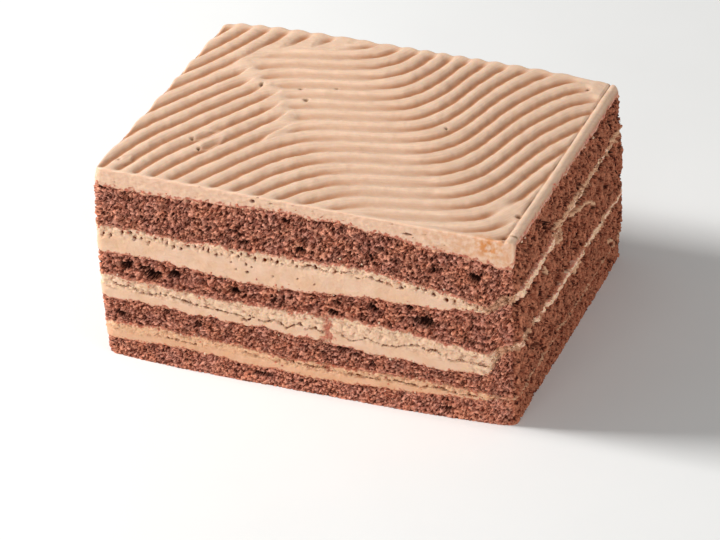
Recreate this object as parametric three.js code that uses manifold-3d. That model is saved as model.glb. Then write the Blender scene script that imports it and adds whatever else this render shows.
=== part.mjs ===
// A slab of layered chocolate cream cake: four cocoa sponges, three cream fillings and a combed cream top.
// Millimetres, +Z up. The origin is the middle of the underside, the long cut face looks to -Y,
// and the trimmed short face looks to +X.
import * as THREE from "three";
import { mergeVertices } from "three/addons/utils/BufferGeometryUtils.js";
import Module from "manifold-3d";

// The slab as cut. The top is not level: each corner has its own height, to the crests of the ridges.
const LENGTH = 140.2;
const DEPTH = 111.2;
const TOP_FRONT_LEFT = 70.4;
const TOP_FRONT_RIGHT = 68.0;
const TOP_BACK_LEFT = 65.9;
const TOP_BACK_RIGHT = 64.1;

// The cut sides swell at mid-height and draw in at the foot. The upright edges are slightly rounded.
const SIDE_SWELL = 1.2;
const FOOT_INSET = 0.8;
const EDGE_RADIUS = 2.2;

// Clear distance between one layer and the next.
const GAP = 0.3;

// The layer boundaries from the lowest up, as they run along the long cut face:
// height at the middle, fall or rise over half the length, droop at the right end, and one ripple.
const RIPPLE_LENGTH = 90;
const BOUNDARIES = [
  { height: 6.0, tilt: -0.7, droop: 2.6, ripple: 0.7, crest: -43 },
  { height: 11.4, tilt: -1.3, droop: 0.9, ripple: 0.75, crest: 43 },
  { height: 20.1, tilt: -3.1, droop: 0.0, ripple: 0.4, crest: -16 },
  { height: 29.3, tilt: -0.8, droop: -2.6, ripple: 0.6, crest: 24 },
  { height: 38.5, tilt: 0.0, droop: 0.8, ripple: 1.4, crest: 30 },
  { height: 49.2, tilt: 0.0, droop: -6.8, ripple: 0.2, crest: 19 },
  { height: 64.5, tilt: 0.2, droop: -7.7, ripple: 0.5, crest: -8 },
];
const DROOP_START = 15;
const DROOP_POWER = 1.5;
const DEPTH_WAVE = 0.7;
const DEPTH_WAVE_LENGTH = 74;

// The trimmed short face presses the fillings into thin lines. Each line has a height at mid-depth,
// a rise from front to back, and the thickness left. The lowest filling stops short of the face.
const PINCH_START = 60;
const PINCH_END = 67.5;
const LINES = [
  { middle: 9.6, rise: -0.4, thickness: 0 },
  { middle: 25.2, rise: -3.6, thickness: 1.5 },
  { middle: 46.7, rise: 1.5, thickness: 1.5 },
];
const LOWEST_FILLING_STOP = 5.5;
const CREAM_EDGE_FRONT = 4.6;
const CREAM_EDGE_BACK = 2.6;
const CORNER_CREAM = 9;

// The combed top: rounded ridges with narrow grooves, left by a comb dragged in a sway.
const RIDGE_RELIEF = 1.25;
const RIDGE_ROUNDNESS = 2.1;
const TOOTH_PITCH = 7.68;
const DRAG_ANGLE = THREE.MathUtils.degToRad(43.68);
const SWAY_LENGTH = 125.9;
const SWAY = 10.68;
const SWAY_START = 56.65;
const WOBBLE = -2.23;
const WOBBLE_START = 0.53;
const DRIFT = 0.159;
const TOOTH_LAG = 0.975;

// A smooth raised lip closes the ridges along the trimmed short face.
const LIP_WIDTH = 4.4;
const LIP_RISE = 0.45;

// The largest air holes in the cut sponge, by layer: place along the face, height, width and tallness.
// The opposite face has the same ones, seen from its own side.
const LONG_FACE_HOLES = {
  sponge_2: [
    { along: -65, z: 16.7, width: 2.6, tall: 2.2 },
    { along: 12, z: 18.6, width: 3.0, tall: 2.4 },
    { along: 22.5, z: 14.4, width: 2.6, tall: 2.0 },
  ],
  sponge_3: [
    { along: -61, z: 35.8, width: 4.2, tall: 2.8 },
    { along: -51.6, z: 34.0, width: 5.0, tall: 3.2 },
    { along: -44.4, z: 35.2, width: 4.0, tall: 2.6 },
    { along: -24, z: 33.2, width: 3.6, tall: 2.4 },
    { along: 23.4, z: 35.8, width: 3.6, tall: 2.6 },
    { along: 40, z: 34.2, width: 5.6, tall: 3.6 },
  ],
  sponge_4: [{ along: 57, z: 53.3, width: 3.2, tall: 2.4 }],
};
const SHORT_FACE_HOLES = {
  sponge_2: [{ along: -33.6, z: 17, width: 5.0, tall: 2.6 }],
  sponge_3: [{ along: -22.6, z: 39, width: 3.2, tall: 2.4 }],
  sponge_4: [
    { along: -38, z: 56, width: 3.0, tall: 2.6 },
    { along: -20.6, z: 55, width: 3.0, tall: 2.4 },
  ],
};
const HOLE_DEPTH = 1.7;

// How finely the surfaces are divided.
const LONG_SIDE_STEPS = 15;
const SHORT_SIDE_STEPS = 12;
const CORNER_STEPS = 2;
const WALL_STEPS = 2;
const CAP_RINGS = [0.85, 0.93];
const STEPS_PER_RIDGE = 6;
const STEP_ALONG_RIDGE = 5.6;
const LIP_STEPS = 14;

const HALF_LENGTH = LENGTH / 2;
const HALF_DEPTH = DEPTH / 2;
const FULL_HEIGHT = Math.max(TOP_FRONT_LEFT, TOP_FRONT_RIGHT, TOP_BACK_LEFT, TOP_BACK_RIGHT);

const { lerp, clamp, smoothstep } = THREE.MathUtils;

const wasm = await Module();
wasm.setup();

// Height of the top, to the crests, at a place in plan.
function crestHeight(x, y) {
  const across = (x + HALF_LENGTH) / LENGTH;
  const back = (y + HALF_DEPTH) / DEPTH;
  const front = lerp(TOP_FRONT_LEFT, TOP_FRONT_RIGHT, across);
  const rear = lerp(TOP_BACK_LEFT, TOP_BACK_RIGHT, across);
  return lerp(front, rear, back);
}

// Height of a boundary where it shows on the long cut face.
function boundaryAlongFront(boundary, x) {
  const fall = Math.max(0, (x - DROOP_START) / (HALF_LENGTH - DROOP_START)) ** DROOP_POWER;
  const ripple = Math.cos((2 * Math.PI * (x - boundary.crest)) / RIPPLE_LENGTH);
  const straight = boundary.height + boundary.tilt * (x / HALF_LENGTH);
  return straight + boundary.droop * fall + boundary.ripple * ripple;
}

// Height of a boundary on the trimmed short face.
function boundaryOnShortFace(index, x, y) {
  if (index === BOUNDARIES.length - 1) {
    const back = (y + HALF_DEPTH) / DEPTH;
    return crestHeight(x, y) - lerp(CREAM_EDGE_FRONT, CREAM_EDGE_BACK, back);
  }
  const line = LINES[Math.floor(index / 2)];
  const side = index % 2 === 0 ? -1 : 1;
  return line.middle + line.rise * (y / HALF_DEPTH) + (side * line.thickness) / 2;
}

// Height of a boundary anywhere. It sinks with the top towards the back and waves a little on the way.
function boundaryHeight(index, x, y) {
  const sink = crestHeight(x, y) / crestHeight(x, -HALF_DEPTH);
  const inwards = clamp((y + HALF_DEPTH) / 20, 0, 1);
  const phase = (2 * Math.PI * (y + HALF_DEPTH)) / DEPTH_WAVE_LENGTH + 2 * index;
  const wave = DEPTH_WAVE * inwards * Math.sin(phase);
  const open = boundaryAlongFront(BOUNDARIES[index], x) * sink + wave;
  let pinch = smoothstep(x, PINCH_START, PINCH_END);
  if (index === BOUNDARIES.length - 1) {
    pinch *= smoothstep(y, -HALF_DEPTH, -HALF_DEPTH + CORNER_CREAM);
  }
  return lerp(open, boundaryOnShortFace(index, x, y), pinch);
}

// How far the side stands outside the nominal slab at a height.
function sideOffset(z) {
  const level = clamp(z / FULL_HEIGHT, 0, 1);
  return SIDE_SWELL * Math.sin(Math.PI * level) - FOOT_INSET * (1 - level) ** 2;
}

// Corner points of the plan outline at nominal size, counter-clockwise from the front right corner.
function planOutline() {
  const points = [];
  const straightX = HALF_LENGTH - EDGE_RADIUS;
  const straightY = HALF_DEPTH - EDGE_RADIUS;
  const corners = [
    { x: straightX, y: -straightY, from: -90, steps: SHORT_SIDE_STEPS },
    { x: straightX, y: straightY, from: 0, steps: LONG_SIDE_STEPS },
    { x: -straightX, y: straightY, from: 90, steps: SHORT_SIDE_STEPS },
    { x: -straightX, y: -straightY, from: 180, steps: LONG_SIDE_STEPS },
  ];
  corners.forEach((corner, number) => {
    for (let i = 0; i <= CORNER_STEPS; i++) {
      const turn = THREE.MathUtils.degToRad(corner.from + (90 * i) / CORNER_STEPS);
      const reach = new THREE.Vector2(Math.cos(turn), Math.sin(turn)).multiplyScalar(EDGE_RADIUS);
      points.push(new THREE.Vector2(corner.x, corner.y).add(reach));
    }
    const next = corners[(number + 1) % corners.length];
    const start = points[points.length - 1];
    const turn = THREE.MathUtils.degToRad(next.from);
    const end = new THREE.Vector2(Math.cos(turn), Math.sin(turn)).multiplyScalar(EDGE_RADIUS);
    end.add(new THREE.Vector2(next.x, next.y));
    for (let i = 1; i < corner.steps; i++) {
      points.push(start.clone().lerp(end, i / corner.steps));
    }
  });
  return points;
}

const OUTLINE = planOutline();

// The outline at a height, drawn in towards the middle by a share.
function ringPlan(share, z) {
  const offset = sideOffset(z);
  return OUTLINE.map((p) => {
    const x = p.x * (1 + offset / HALF_LENGTH) * share;
    const y = p.y * (1 + offset / HALF_DEPTH) * share;
    return new THREE.Vector2(x, y);
  });
}

// A closed body skinned over rings of equal length, shut at both ends by a fan round a middle point.
function bodyFromRings(rings, firstMiddle, lastMiddle) {
  const count = rings[0].length;
  const positions = [];
  const triangles = [];
  [firstMiddle, ...rings.flat(), lastMiddle].forEach((p) => positions.push(p.x, p.y, p.z));
  const at = (ring, i) => 1 + ring * count + (i % count);
  const last = positions.length / 3 - 1;
  for (let i = 0; i < count; i++) {
    triangles.push(0, at(0, i + 1), at(0, i));
    triangles.push(last, at(rings.length - 1, i), at(rings.length - 1, i + 1));
  }
  for (let ring = 0; ring + 1 < rings.length; ring++) {
    // The lower half is split along the other diagonal, so that faces of two neighbouring layers match.
    const shift = 2 * ring < rings.length - 1 ? 1 : 0;
    for (let i = 0; i < count; i++) {
      triangles.push(at(ring, i), at(ring, i + 1), at(ring + 1, i + shift));
      triangles.push(at(ring, i + 1 - shift), at(ring + 1, i + 1), at(ring + 1, i));
    }
  }
  return solidOf(positions, triangles);
}

function solidOf(positions, triangles) {
  const vertProperties = new Float32Array(positions);
  const triVerts = new Uint32Array(triangles);
  return new wasm.Manifold(new wasm.Mesh({ numProp: 3, vertProperties, triVerts }));
}

// The part of the slab between two height functions, with the swelling side between them.
function slice(lower, upper) {
  const rings = [];
  const capRing = (share, height) =>
    ringPlan(share, height(0, 0)).map((p) => new THREE.Vector3(p.x, p.y, height(p.x, p.y)));
  CAP_RINGS.forEach((share) => rings.push(capRing(share, lower)));
  for (let step = 0; step <= WALL_STEPS; step++) {
    const part = step / WALL_STEPS;
    const level = lerp(lower(0, 0), upper(0, 0), part);
    const plan = ringPlan(1, level);
    rings.push(plan.map((p) => new THREE.Vector3(p.x, p.y, lerp(lower(p.x, p.y), upper(p.x, p.y), part))));
  }
  CAP_RINGS.toReversed().forEach((share) => rings.push(capRing(share, upper)));
  const middle = (height) => new THREE.Vector3(0, 0, height(0, 0));
  return bodyFromRings(rings, middle(lower), middle(upper));
}

// Plan place of a point on the combed surface: which tooth track it is on, and how far along the drag.
function combPlace(track, along) {
  const sway = SWAY * Math.sin((2 * Math.PI * (along - SWAY_START)) / SWAY_LENGTH);
  const wobble = WOBBLE * Math.sin((4 * Math.PI * (along - WOBBLE_START)) / SWAY_LENGTH);
  const forward = along + track * TOOTH_LAG;
  const sideways = track * TOOTH_PITCH + DRIFT * along + sway + wobble;
  return new THREE.Vector2(forward, sideways).rotateAround(new THREE.Vector2(), DRAG_ANGLE);
}

// Depth of the combed surface below the crests: 0 on a crest, the full relief in a groove.
function grooveDepth(track) {
  const fromCrest = Math.abs(2 * (track - Math.floor(track)) - 1);
  return RIDGE_RELIEF * fromCrest ** RIDGE_ROUNDNESS;
}

// A block wider than the slab whose upper face is the combed surface.
function combedBlock(floor) {
  const reach = Math.hypot(LENGTH, DEPTH) / 2 + TOOTH_PITCH;
  const tracks = Math.ceil((reach + SWAY) / TOOTH_PITCH);
  const rows = 2 * tracks * STEPS_PER_RIDGE;
  const columns = Math.ceil((2 * (reach + tracks * TOOTH_LAG)) / STEP_ALONG_RIDGE);
  const positions = [];
  const triangles = [];
  for (const upper of [true, false]) {
    for (let row = 0; row <= rows; row++) {
      for (let column = 0; column <= columns; column++) {
        const track = -tracks + row / STEPS_PER_RIDGE;
        const along = (column - columns / 2) * STEP_ALONG_RIDGE;
        const p = combPlace(track, along);
        const top = crestHeight(p.x, p.y) - grooveDepth(track);
        positions.push(p.x, p.y, upper ? top : floor);
      }
    }
  }
  const layer = (rows + 1) * (columns + 1);
  const top = (row, column) => row * (columns + 1) + column;
  const under = (row, column) => layer + top(row, column);
  for (let row = 0; row < rows; row++) {
    for (let column = 0; column < columns; column++) {
      const corners = [
        [row, column],
        [row, column + 1],
        [row + 1, column + 1],
        [row + 1, column],
      ];
      const [a, b, c, d] = corners.map(([r, k]) => top(r, k));
      const [e, f, g, h] = corners.map(([r, k]) => under(r, k));
      triangles.push(a, b, c, a, c, d);
      triangles.push(e, g, f, e, h, g);
    }
  }
  const wall = (from, to) => {
    triangles.push(from, from + layer, to, to, from + layer, to + layer);
  };
  for (let column = 0; column < columns; column++) {
    wall(top(0, column), top(0, column + 1));
    wall(top(rows, column + 1), top(rows, column));
  }
  for (let row = 0; row < rows; row++) {
    wall(top(row, columns), top(row + 1, columns));
    wall(top(row + 1, 0), top(row, 0));
  }
  return solidOf(positions, triangles);
}

// The lip: a low rounded kerb along the trimmed short face, standing a little above the crests.
function lip() {
  const outer = HALF_LENGTH + SIDE_SWELL;
  const inner = HALF_LENGTH - LIP_WIDTH;
  const profile = [
    { x: inner, drop: LIP_RISE + RIDGE_RELIEF },
    { x: lerp(inner, HALF_LENGTH, 0.3), drop: 0.25 },
    { x: lerp(inner, HALF_LENGTH, 0.6), drop: 0 },
    { x: lerp(inner, HALF_LENGTH, 0.85), drop: 0.5 },
    { x: outer, drop: 2.2 },
    { x: outer, drop: CREAM_EDGE_FRONT + 4 },
    { x: inner, drop: CREAM_EDGE_FRONT + 4 },
  ];
  const rings = [];
  for (let step = 0; step <= LIP_STEPS; step++) {
    const y = lerp(-HALF_DEPTH - SIDE_SWELL, HALF_DEPTH + SIDE_SWELL, step / LIP_STEPS);
    const section = (p) => new THREE.Vector3(p.x, y, crestHeight(p.x, y) + LIP_RISE - p.drop);
    rings.push(profile.map(section));
  }
  const middleOf = (ring) => {
    const sum = ring.reduce((total, p) => total.add(p), new THREE.Vector3());
    return sum.divideScalar(ring.length);
  };
  return bodyFromRings(rings, middleOf(rings[0]), middleOf(rings[rings.length - 1]));
}

// The combed cream: the combed block and the lip, trimmed to the slab above the uppermost sponge.
function combedCream() {
  const last = BOUNDARIES.length - 1;
  const above = slice((x, y) => boundaryHeight(last, x, y) + GAP / 2, () => FULL_HEIGHT + 5);
  const floor = BOUNDARIES[last].height / 2;
  return combedBlock(floor).add(lip()).intersect(above);
}

// Layer number 0 is the lowest sponge; odd numbers are fillings.
function layer(number) {
  const lower = (x, y) => (number === 0 ? 0 : boundaryHeight(number - 1, x, y) + GAP / 2);
  const upper = (x, y) => {
    const height = boundaryHeight(number, x, y) - GAP / 2;
    return Math.max(height, lower(x, y) + GAP / 3);
  };
  return slice(lower, upper);
}

// A three.js shape as a solid, with the corners that its faces share made one.
function solidOfGeometry(geometry) {
  geometry.deleteAttribute("normal");
  geometry.deleteAttribute("uv");
  const merged = mergeVertices(geometry);
  return solidOf(merged.getAttribute("position").array, merged.index.array);
}

// The lowest filling ends before it reaches the trimmed short face.
function lowestFilling() {
  const cutter = new THREE.BoxGeometry(2 * LOWEST_FILLING_STOP, 2 * DEPTH, FULL_HEIGHT);
  cutter.translate(HALF_LENGTH, 0, 0);
  return layer(1).subtract(solidOfGeometry(cutter));
}

// One air hole: a rough hollow sunk into a face that stands at a distance from the middle.
function hole({ along, z, width, tall }, halfWidth, turn) {
  const hollow = new THREE.IcosahedronGeometry(1, 0);
  hollow.scale(width / 2, HOLE_DEPTH, tall / 2);
  hollow.translate(along, -halfWidth - sideOffset(z), z);
  hollow.rotateZ(turn);
  return solidOfGeometry(hollow);
}

// A sponge layer with the air holes of its four faces.
function pittedSponge(name, number) {
  const faces = [
    { holes: LONG_FACE_HOLES[name] ?? [], halfWidth: HALF_DEPTH, turn: 0 },
    { holes: SHORT_FACE_HOLES[name] ?? [], halfWidth: HALF_LENGTH, turn: Math.PI / 2 },
    { holes: LONG_FACE_HOLES[name] ?? [], halfWidth: HALF_DEPTH, turn: Math.PI },
    { holes: SHORT_FACE_HOLES[name] ?? [], halfWidth: HALF_LENGTH, turn: -Math.PI / 2 },
  ];
  let solid = layer(number);
  for (const face of faces) {
    for (const each of face.holes) {
      solid = solid.subtract(hole(each, face.halfWidth, face.turn));
    }
  }
  return solid;
}

function meshOf(name, solid, material) {
  const made = solid.getMesh();
  const geometry = new THREE.BufferGeometry();
  geometry.setAttribute("position", new THREE.BufferAttribute(made.vertProperties.slice(), 3));
  geometry.setIndex(new THREE.BufferAttribute(made.triVerts.slice(), 1));
  geometry.computeVertexNormals();
  const mesh = new THREE.Mesh(geometry, material);
  mesh.name = name;
  return mesh;
}

const sponge = () => new THREE.MeshStandardMaterial({ color: 0x9e614e, roughness: 0.95, metalness: 0 });
const cream = () => new THREE.MeshStandardMaterial({ color: 0xe6b898, roughness: 0.6, metalness: 0 });

const cake = new THREE.Group();
cake.name = "chocolate_cream_cake";
cake.add(
  meshOf("sponge_1", pittedSponge("sponge_1", 0), sponge()),
  meshOf("filling_1", lowestFilling(), cream()),
  meshOf("sponge_2", pittedSponge("sponge_2", 2), sponge()),
  meshOf("filling_2", layer(3), cream()),
  meshOf("sponge_3", pittedSponge("sponge_3", 4), sponge()),
  meshOf("filling_3", layer(5), cream()),
  meshOf("sponge_4", pittedSponge("sponge_4", 6), sponge()),
  meshOf("combed_cream_top", combedCream(), cream()),
);

export default cake;
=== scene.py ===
"""A slab of layered chocolate cream cake: four cocoa sponges, three cream fillings and a combed cream top.

Lengths inside the shape functions are millimetres; the finished meshes are in metres.
"""

import math
from functools import partial
from types import SimpleNamespace

import bpy
import numpy as np
from mathutils import Matrix, Vector


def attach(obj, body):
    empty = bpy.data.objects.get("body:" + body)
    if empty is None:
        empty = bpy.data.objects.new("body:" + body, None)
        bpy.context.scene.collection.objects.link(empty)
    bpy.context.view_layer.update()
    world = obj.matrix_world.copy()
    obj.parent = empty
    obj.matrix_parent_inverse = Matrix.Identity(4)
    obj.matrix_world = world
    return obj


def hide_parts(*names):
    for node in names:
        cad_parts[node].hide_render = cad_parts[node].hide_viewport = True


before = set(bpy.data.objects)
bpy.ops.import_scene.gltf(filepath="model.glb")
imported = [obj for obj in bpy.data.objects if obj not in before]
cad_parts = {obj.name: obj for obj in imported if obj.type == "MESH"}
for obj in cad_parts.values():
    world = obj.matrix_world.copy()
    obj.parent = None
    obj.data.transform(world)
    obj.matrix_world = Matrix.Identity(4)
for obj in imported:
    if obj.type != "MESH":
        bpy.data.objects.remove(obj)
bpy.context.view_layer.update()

bl_info = {
    "name": "Layered chocolate cream cake",
    "version": (1, 0, 0),
    "blender": (4, 5, 0),
    "location": "3D View > Sidebar > Cake",
    "description": "Builds a slab of cocoa sponge and chocolate cream with a combed top",
    "category": "Object",
}

MM = 0.001

# The slab as cut: the same sizes as its solids.
LENGTH, DEPTH = 140.2, 111.2
TOP_FRONT_LEFT, TOP_FRONT_RIGHT = 70.4, 68.0
TOP_BACK_LEFT, TOP_BACK_RIGHT = 65.9, 64.1
SIDE_SWELL, FOOT_INSET, EDGE_RADIUS, GAP = 1.2, 0.8, 2.2, 0.3
HALF_LENGTH, HALF_DEPTH = LENGTH / 2, DEPTH / 2

# Layer boundaries from the lowest up: height, tilt, droop, ripple and ripple crest.
RIPPLE_LENGTH = 90
BOUNDARIES = (
    (6.0, -0.7, 2.6, 0.7, -43), (11.4, -1.3, 0.9, 0.75, 43), (20.1, -3.1, 0.0, 0.4, -16),
    (29.3, -0.8, -2.6, 0.6, 24), (38.5, 0.0, 0.8, 1.4, 30), (49.2, 0.0, -6.8, 0.2, 19),
    (64.5, 0.2, -7.7, 0.5, -8),
)
DROOP_START, DROOP_POWER = 15, 1.5
DEPTH_WAVE, DEPTH_WAVE_LENGTH = 0.7, 74
PINCH_START, PINCH_END = 60, 67.5
# The fillings on the trimmed face: height at mid-depth, rise to the back, thickness.
LINES = ((9.6, -0.4, 0.0), (27.3, -2.1, 2.0), (47.9, 0.5, 2.6))
CREAM_EDGE_FRONT, CREAM_EDGE_BACK, CORNER_CREAM = 2.5, 2.4, 4

# The comb's drag over the top, and the lip along the trimmed face.
RIDGE_DEPTH, TOOTH_PITCH = 1.35, 7.68
DRAG_ANGLE = math.radians(43.68)
SWAY_LENGTH, SWAY, SWAY_START = 125.9, 10.68, 56.65
WOBBLE, WOBBLE_START, DRIFT, TOOTH_LAG = -2.23, 0.53, 0.159, 0.975
TRACK_SHIFT = 0.32
CORNER_BEND = 0.86, (62, 50), (0.135, 0.112)
LIP_WIDTH, LIP_RISE = 3.4, 0.2

# How the soft slab has settled: a crown towards the back rim, a flared foot, a fuller back.
CROWN, CROWN_START, CROWN_LEAN = 2.2, -15, (-0.6, 1.5)
FOOT_FLARE, FOOT_FLARE_HEIGHT = 2.2, 9
BACK_BULGE = 0.8
# Fullness of the left and the trimmed short face: heights, and how far each stands out there.
LEFT_FULLNESS = ((0, 10, 26, 44, 52, 66, 70), (1.0, 0.9, 0.7, 0.8, 1.35, 1.45, 0.9))
TRIMMED_FULLNESS = ((0, 12, 24, 35, 52, 62, 68), (1.3, 1.3, 1.2, 0.7, 0.5, 0.0, 0.0))

# Where another pull of the comb overran the main one: the outline of each, and its own tracks
# as a curve about a middle point (x, y, xx, xy, yy, shift).
SHARED_RIM = ((-80, -6), (-70.4, 3.6), (-66.6, 9.6), (-62.6, 17), (-57.6, 24.8), (-52.5, 31))
CORNER_PULL = (*SHARED_RIM, (-48.8, 38.6), (-44, 42), (-39.2, 44.6), (-34, 46.4), (-28.6, 48.4))
CORNER_PULL += ((-22, 54), (-16, 64), (-80, 64))
CORNER_TRACKS = ((-58.39, 39.46), (-0.146764, 0.05362, 0.00081, -0.000432, -0.000364, -0.52))
SIDE_PULL = (*SHARED_RIM, (-50.6, 28), (-46, 20.4), (-40.6, 17.4), (-34.2, 14.2), (-30.4, 5.6))
SIDE_PULL += ((-25.8, 1.2), (-22.8, -6.5), (-24, -14), (-30, -26), (-80, -26))
SIDE_TRACKS = ((-47.12, -3.24), (-0.136003, 0.065006, 0.000087, 0.000069, 0.000165, -0.715))
# A place on each pull where its tracks run on from those of the pull before it.
SIDE_START, CORNER_START = np.array([[-52.0], [-15.0]]), np.array([[-61.0], [19.0]])
# Dips in the combed top seen from above, x, y, width, length, and thin folds drawn up by the comb.
COMB_DIPS = (
    (-42.1, 16.4, 1.1, 2.4), (-28.5, 17.6, 2.0, 2.0), (-24.2, 11.4, 2.0, 2.4),
    (-17.4, 22.0, 1.2, 1.4), (25.7, 8.6, 0.9, 1.0), (66.0, -37.6, 1.8, 2.4), (61.2, 49.2, 1.5, 1.8),
    (-49.6, -25.6, 1.2, 2.0), (-44.9, -31.4, 1.2, 2.0), (-65.6, -47.8, 1.4, 1.6),
)
COMB_FOLDS = (
    ((-49.8, -26.6), (-48.9, -22.6), (-46.4, -18.6), (-43.6, -16.6)),
    ((-43.6, -16.6), (-44.6, -20.4), (-47.0, -24.6), (-49.8, -26.6)),
    ((-45.2, -32.6), (-44.6, -28.6), (-42.6, -24.2), (-40.2, -21.2)),
    ((-40.2, -21.2), (-40.4, -25.4), (-42.2, -30.0), (-45.2, -32.6)),
    ((-66.8, -49.6), (-66.2, -46.2), (-63.4, -43.2), (-62.6, -46.4), (-64.0, -49.2)),
)
CORNER_CRACK = ((66.0, -51.6), (67.6, -50.6), (69.0, -51.0), (71.2, -49.8))
# Places where the ridges fade: x, y, stretch in y, the share lost, and the radii where that starts and ends.
COMB_FADES = ((67, 51.5, 1.1, 0.95, 7.5, 4.5), (63, -36, 1.3, 0.65, 8, 2))
# The middle of the browned patch at the trimmed front corner, x and height.
BROWNED_X, BROWNED_Z = 62.5, 65.5

# Air holes in the cut sponge, seen from a face's own side: along, height, width, tallness.
LONG_FACE_HOLES = {
    "sponge_1": ((-16, 3.1, 5.0, 1.3), (47.9, 2.9, 5.6, 0.9)),
    "sponge_2": (
        (-65, 16.7, 2.6, 2.2), (12, 18.6, 3.0, 2.4), (22.5, 14.4, 2.6, 2.0),
        (-48.6, 20.2, 2.4, 1.0), (-37.6, 17.2, 1.8, 1.6), (5.9, 15.4, 1.6, 1.4),
        (17.2, 17.0, 2.0, 1.0),
    ),
    "sponge_3": (
        (-61, 35.8, 4.2, 2.8), (-51.6, 34.0, 5.0, 3.2), (-44.4, 35.2, 4.0, 2.6),
        (-24, 33.2, 3.6, 2.4), (23.4, 35.8, 3.6, 2.6), (40, 34.2, 5.6, 3.6),
        (-54.6, 36.0, 3.0, 1.8), (-5.1, 36.8, 3.0, 0.9), (10.9, 35.6, 2.8, 1.8),
        (9.6, 31.8, 2.6, 2.2), (35.4, 38.6, 1.8, 1.6), (-34.0, 34.6, 1.6, 1.4),
    ),
    "sponge_4": (
        (57, 53.3, 3.2, 2.4), (-53.4, 61.2, 1.0, 0.9), (-5.4, 62.0, 2.5, 1.4),
        (-20, 51.8, 3.0, 1.2), (-0.6, 52.5, 3.0, 1.8), (25.9, 57.8, 2.4, 1.2),
        (22.4, 55.0, 1.8, 1.4), (43.4, 53.5, 2.6, 1.3),
    ),
}
SHORT_FACE_HOLES = {
    "sponge_1": ((20, 6, 3.0, 1.6), (-44, 5, 2.4, 1.6)),
    "sponge_2": (
        (-39.0, 21.0, 3.2, 2.0), (-36.4, 19.4, 3.6, 2.4), (-33.6, 17.6, 3.4, 2.4),
        (-22.0, 16.4, 2.6, 3.2), (-12.4, 10.2, 4.0, 3.4), (22.0, 15.6, 2.6, 2.4),
        (42.0, 12.4, 2.6, 2.4),
    ),
    "sponge_3": (
        (-51.5, 45.2, 5.0, 2.2), (-46.6, 43.6, 3.6, 2.0), (-26.0, 41.8, 3.0, 4.0),
        (-24.6, 39.4, 2.4, 2.6), (-9.0, 36.6, 2.6, 2.4), (35.0, 37.6, 3.4, 3.4),
        (46.0, 33.0, 1.8, 3.4), (24.5, 38.4, 1.6, 1.8), (-3.0, 47.0, 7.0, 1.6),
        (5.0, 46.8, 8.0, 2.4), (14.0, 47.0, 8.0, 2.0), (24.0, 47.0, 6.0, 1.6),
        (34.0, 47.0, 9.0, 1.8), (44.0, 46.6, 6.0, 1.6),
    ),
    "sponge_4": (
        (-41.0, 59.0, 2.6, 3.8), (-25.8, 57.4, 3.0, 2.4), (-23.0, 55.8, 4.0, 2.6),
        (-29.6, 60.2, 2.0, 2.0), (-6.0, 55.0, 2.4, 2.8), (8.0, 52.4, 3.6, 1.6),
        (4.0, 49.3, 9.0, 1.6), (16.0, 49.3, 9.0, 1.4), (31.0, 49.3, 10.0, 1.4),
        (30.0, 60.4, 2.8, 2.6), (44.0, 57.4, 2.6, 3.6),
    ),
}
# Cream smeared over the trimmed sponge: broken lines of y and height.
SHORT_FACE_SMEARS = {
    "sponge_4": (
        ((-16, 51.2), (-12, 50.6), (-4, 50.6), (6, 50.9)),
        ((10, 50.6), (16, 50.2), (25, 50.2)),
        ((42, 50.8), (50, 50.0)),
    ),
    "sponge_3": (
        ((-16, 45.8), (-11, 45.0), (-8, 44.8)),
        ((1, 45.9), (5, 45.4), (10, 44.4), (13, 43.6)),
        ((13, 43.6), (17, 42.0), (20.6, 39.6), (22.4, 38.4)),
        ((-27.6, 43.6), (-26.0, 40.4)),
        ((0.6, 26.2), (5.6, 26.4)),
    ),
    "sponge_2": (
        ((-1, 26.0), (1.6, 24.6), (3, 23.2)),
        ((2.6, 24.4), (5.8, 25.6)),
        ((39.4, 13.6), (41.6, 13.2)),
    ),
}


def pit_row(*places):
    """Small pits at the given places (along, height), each of its own width and tallness."""
    sizes = ((0.6 + 0.9 * abs(math.sin(7 * x)), 0.7 + 1.3 * abs(math.sin(11 * x))) for x, _ in places)
    return tuple((*place, *size) for place, size in zip(places, sizes))


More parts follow.
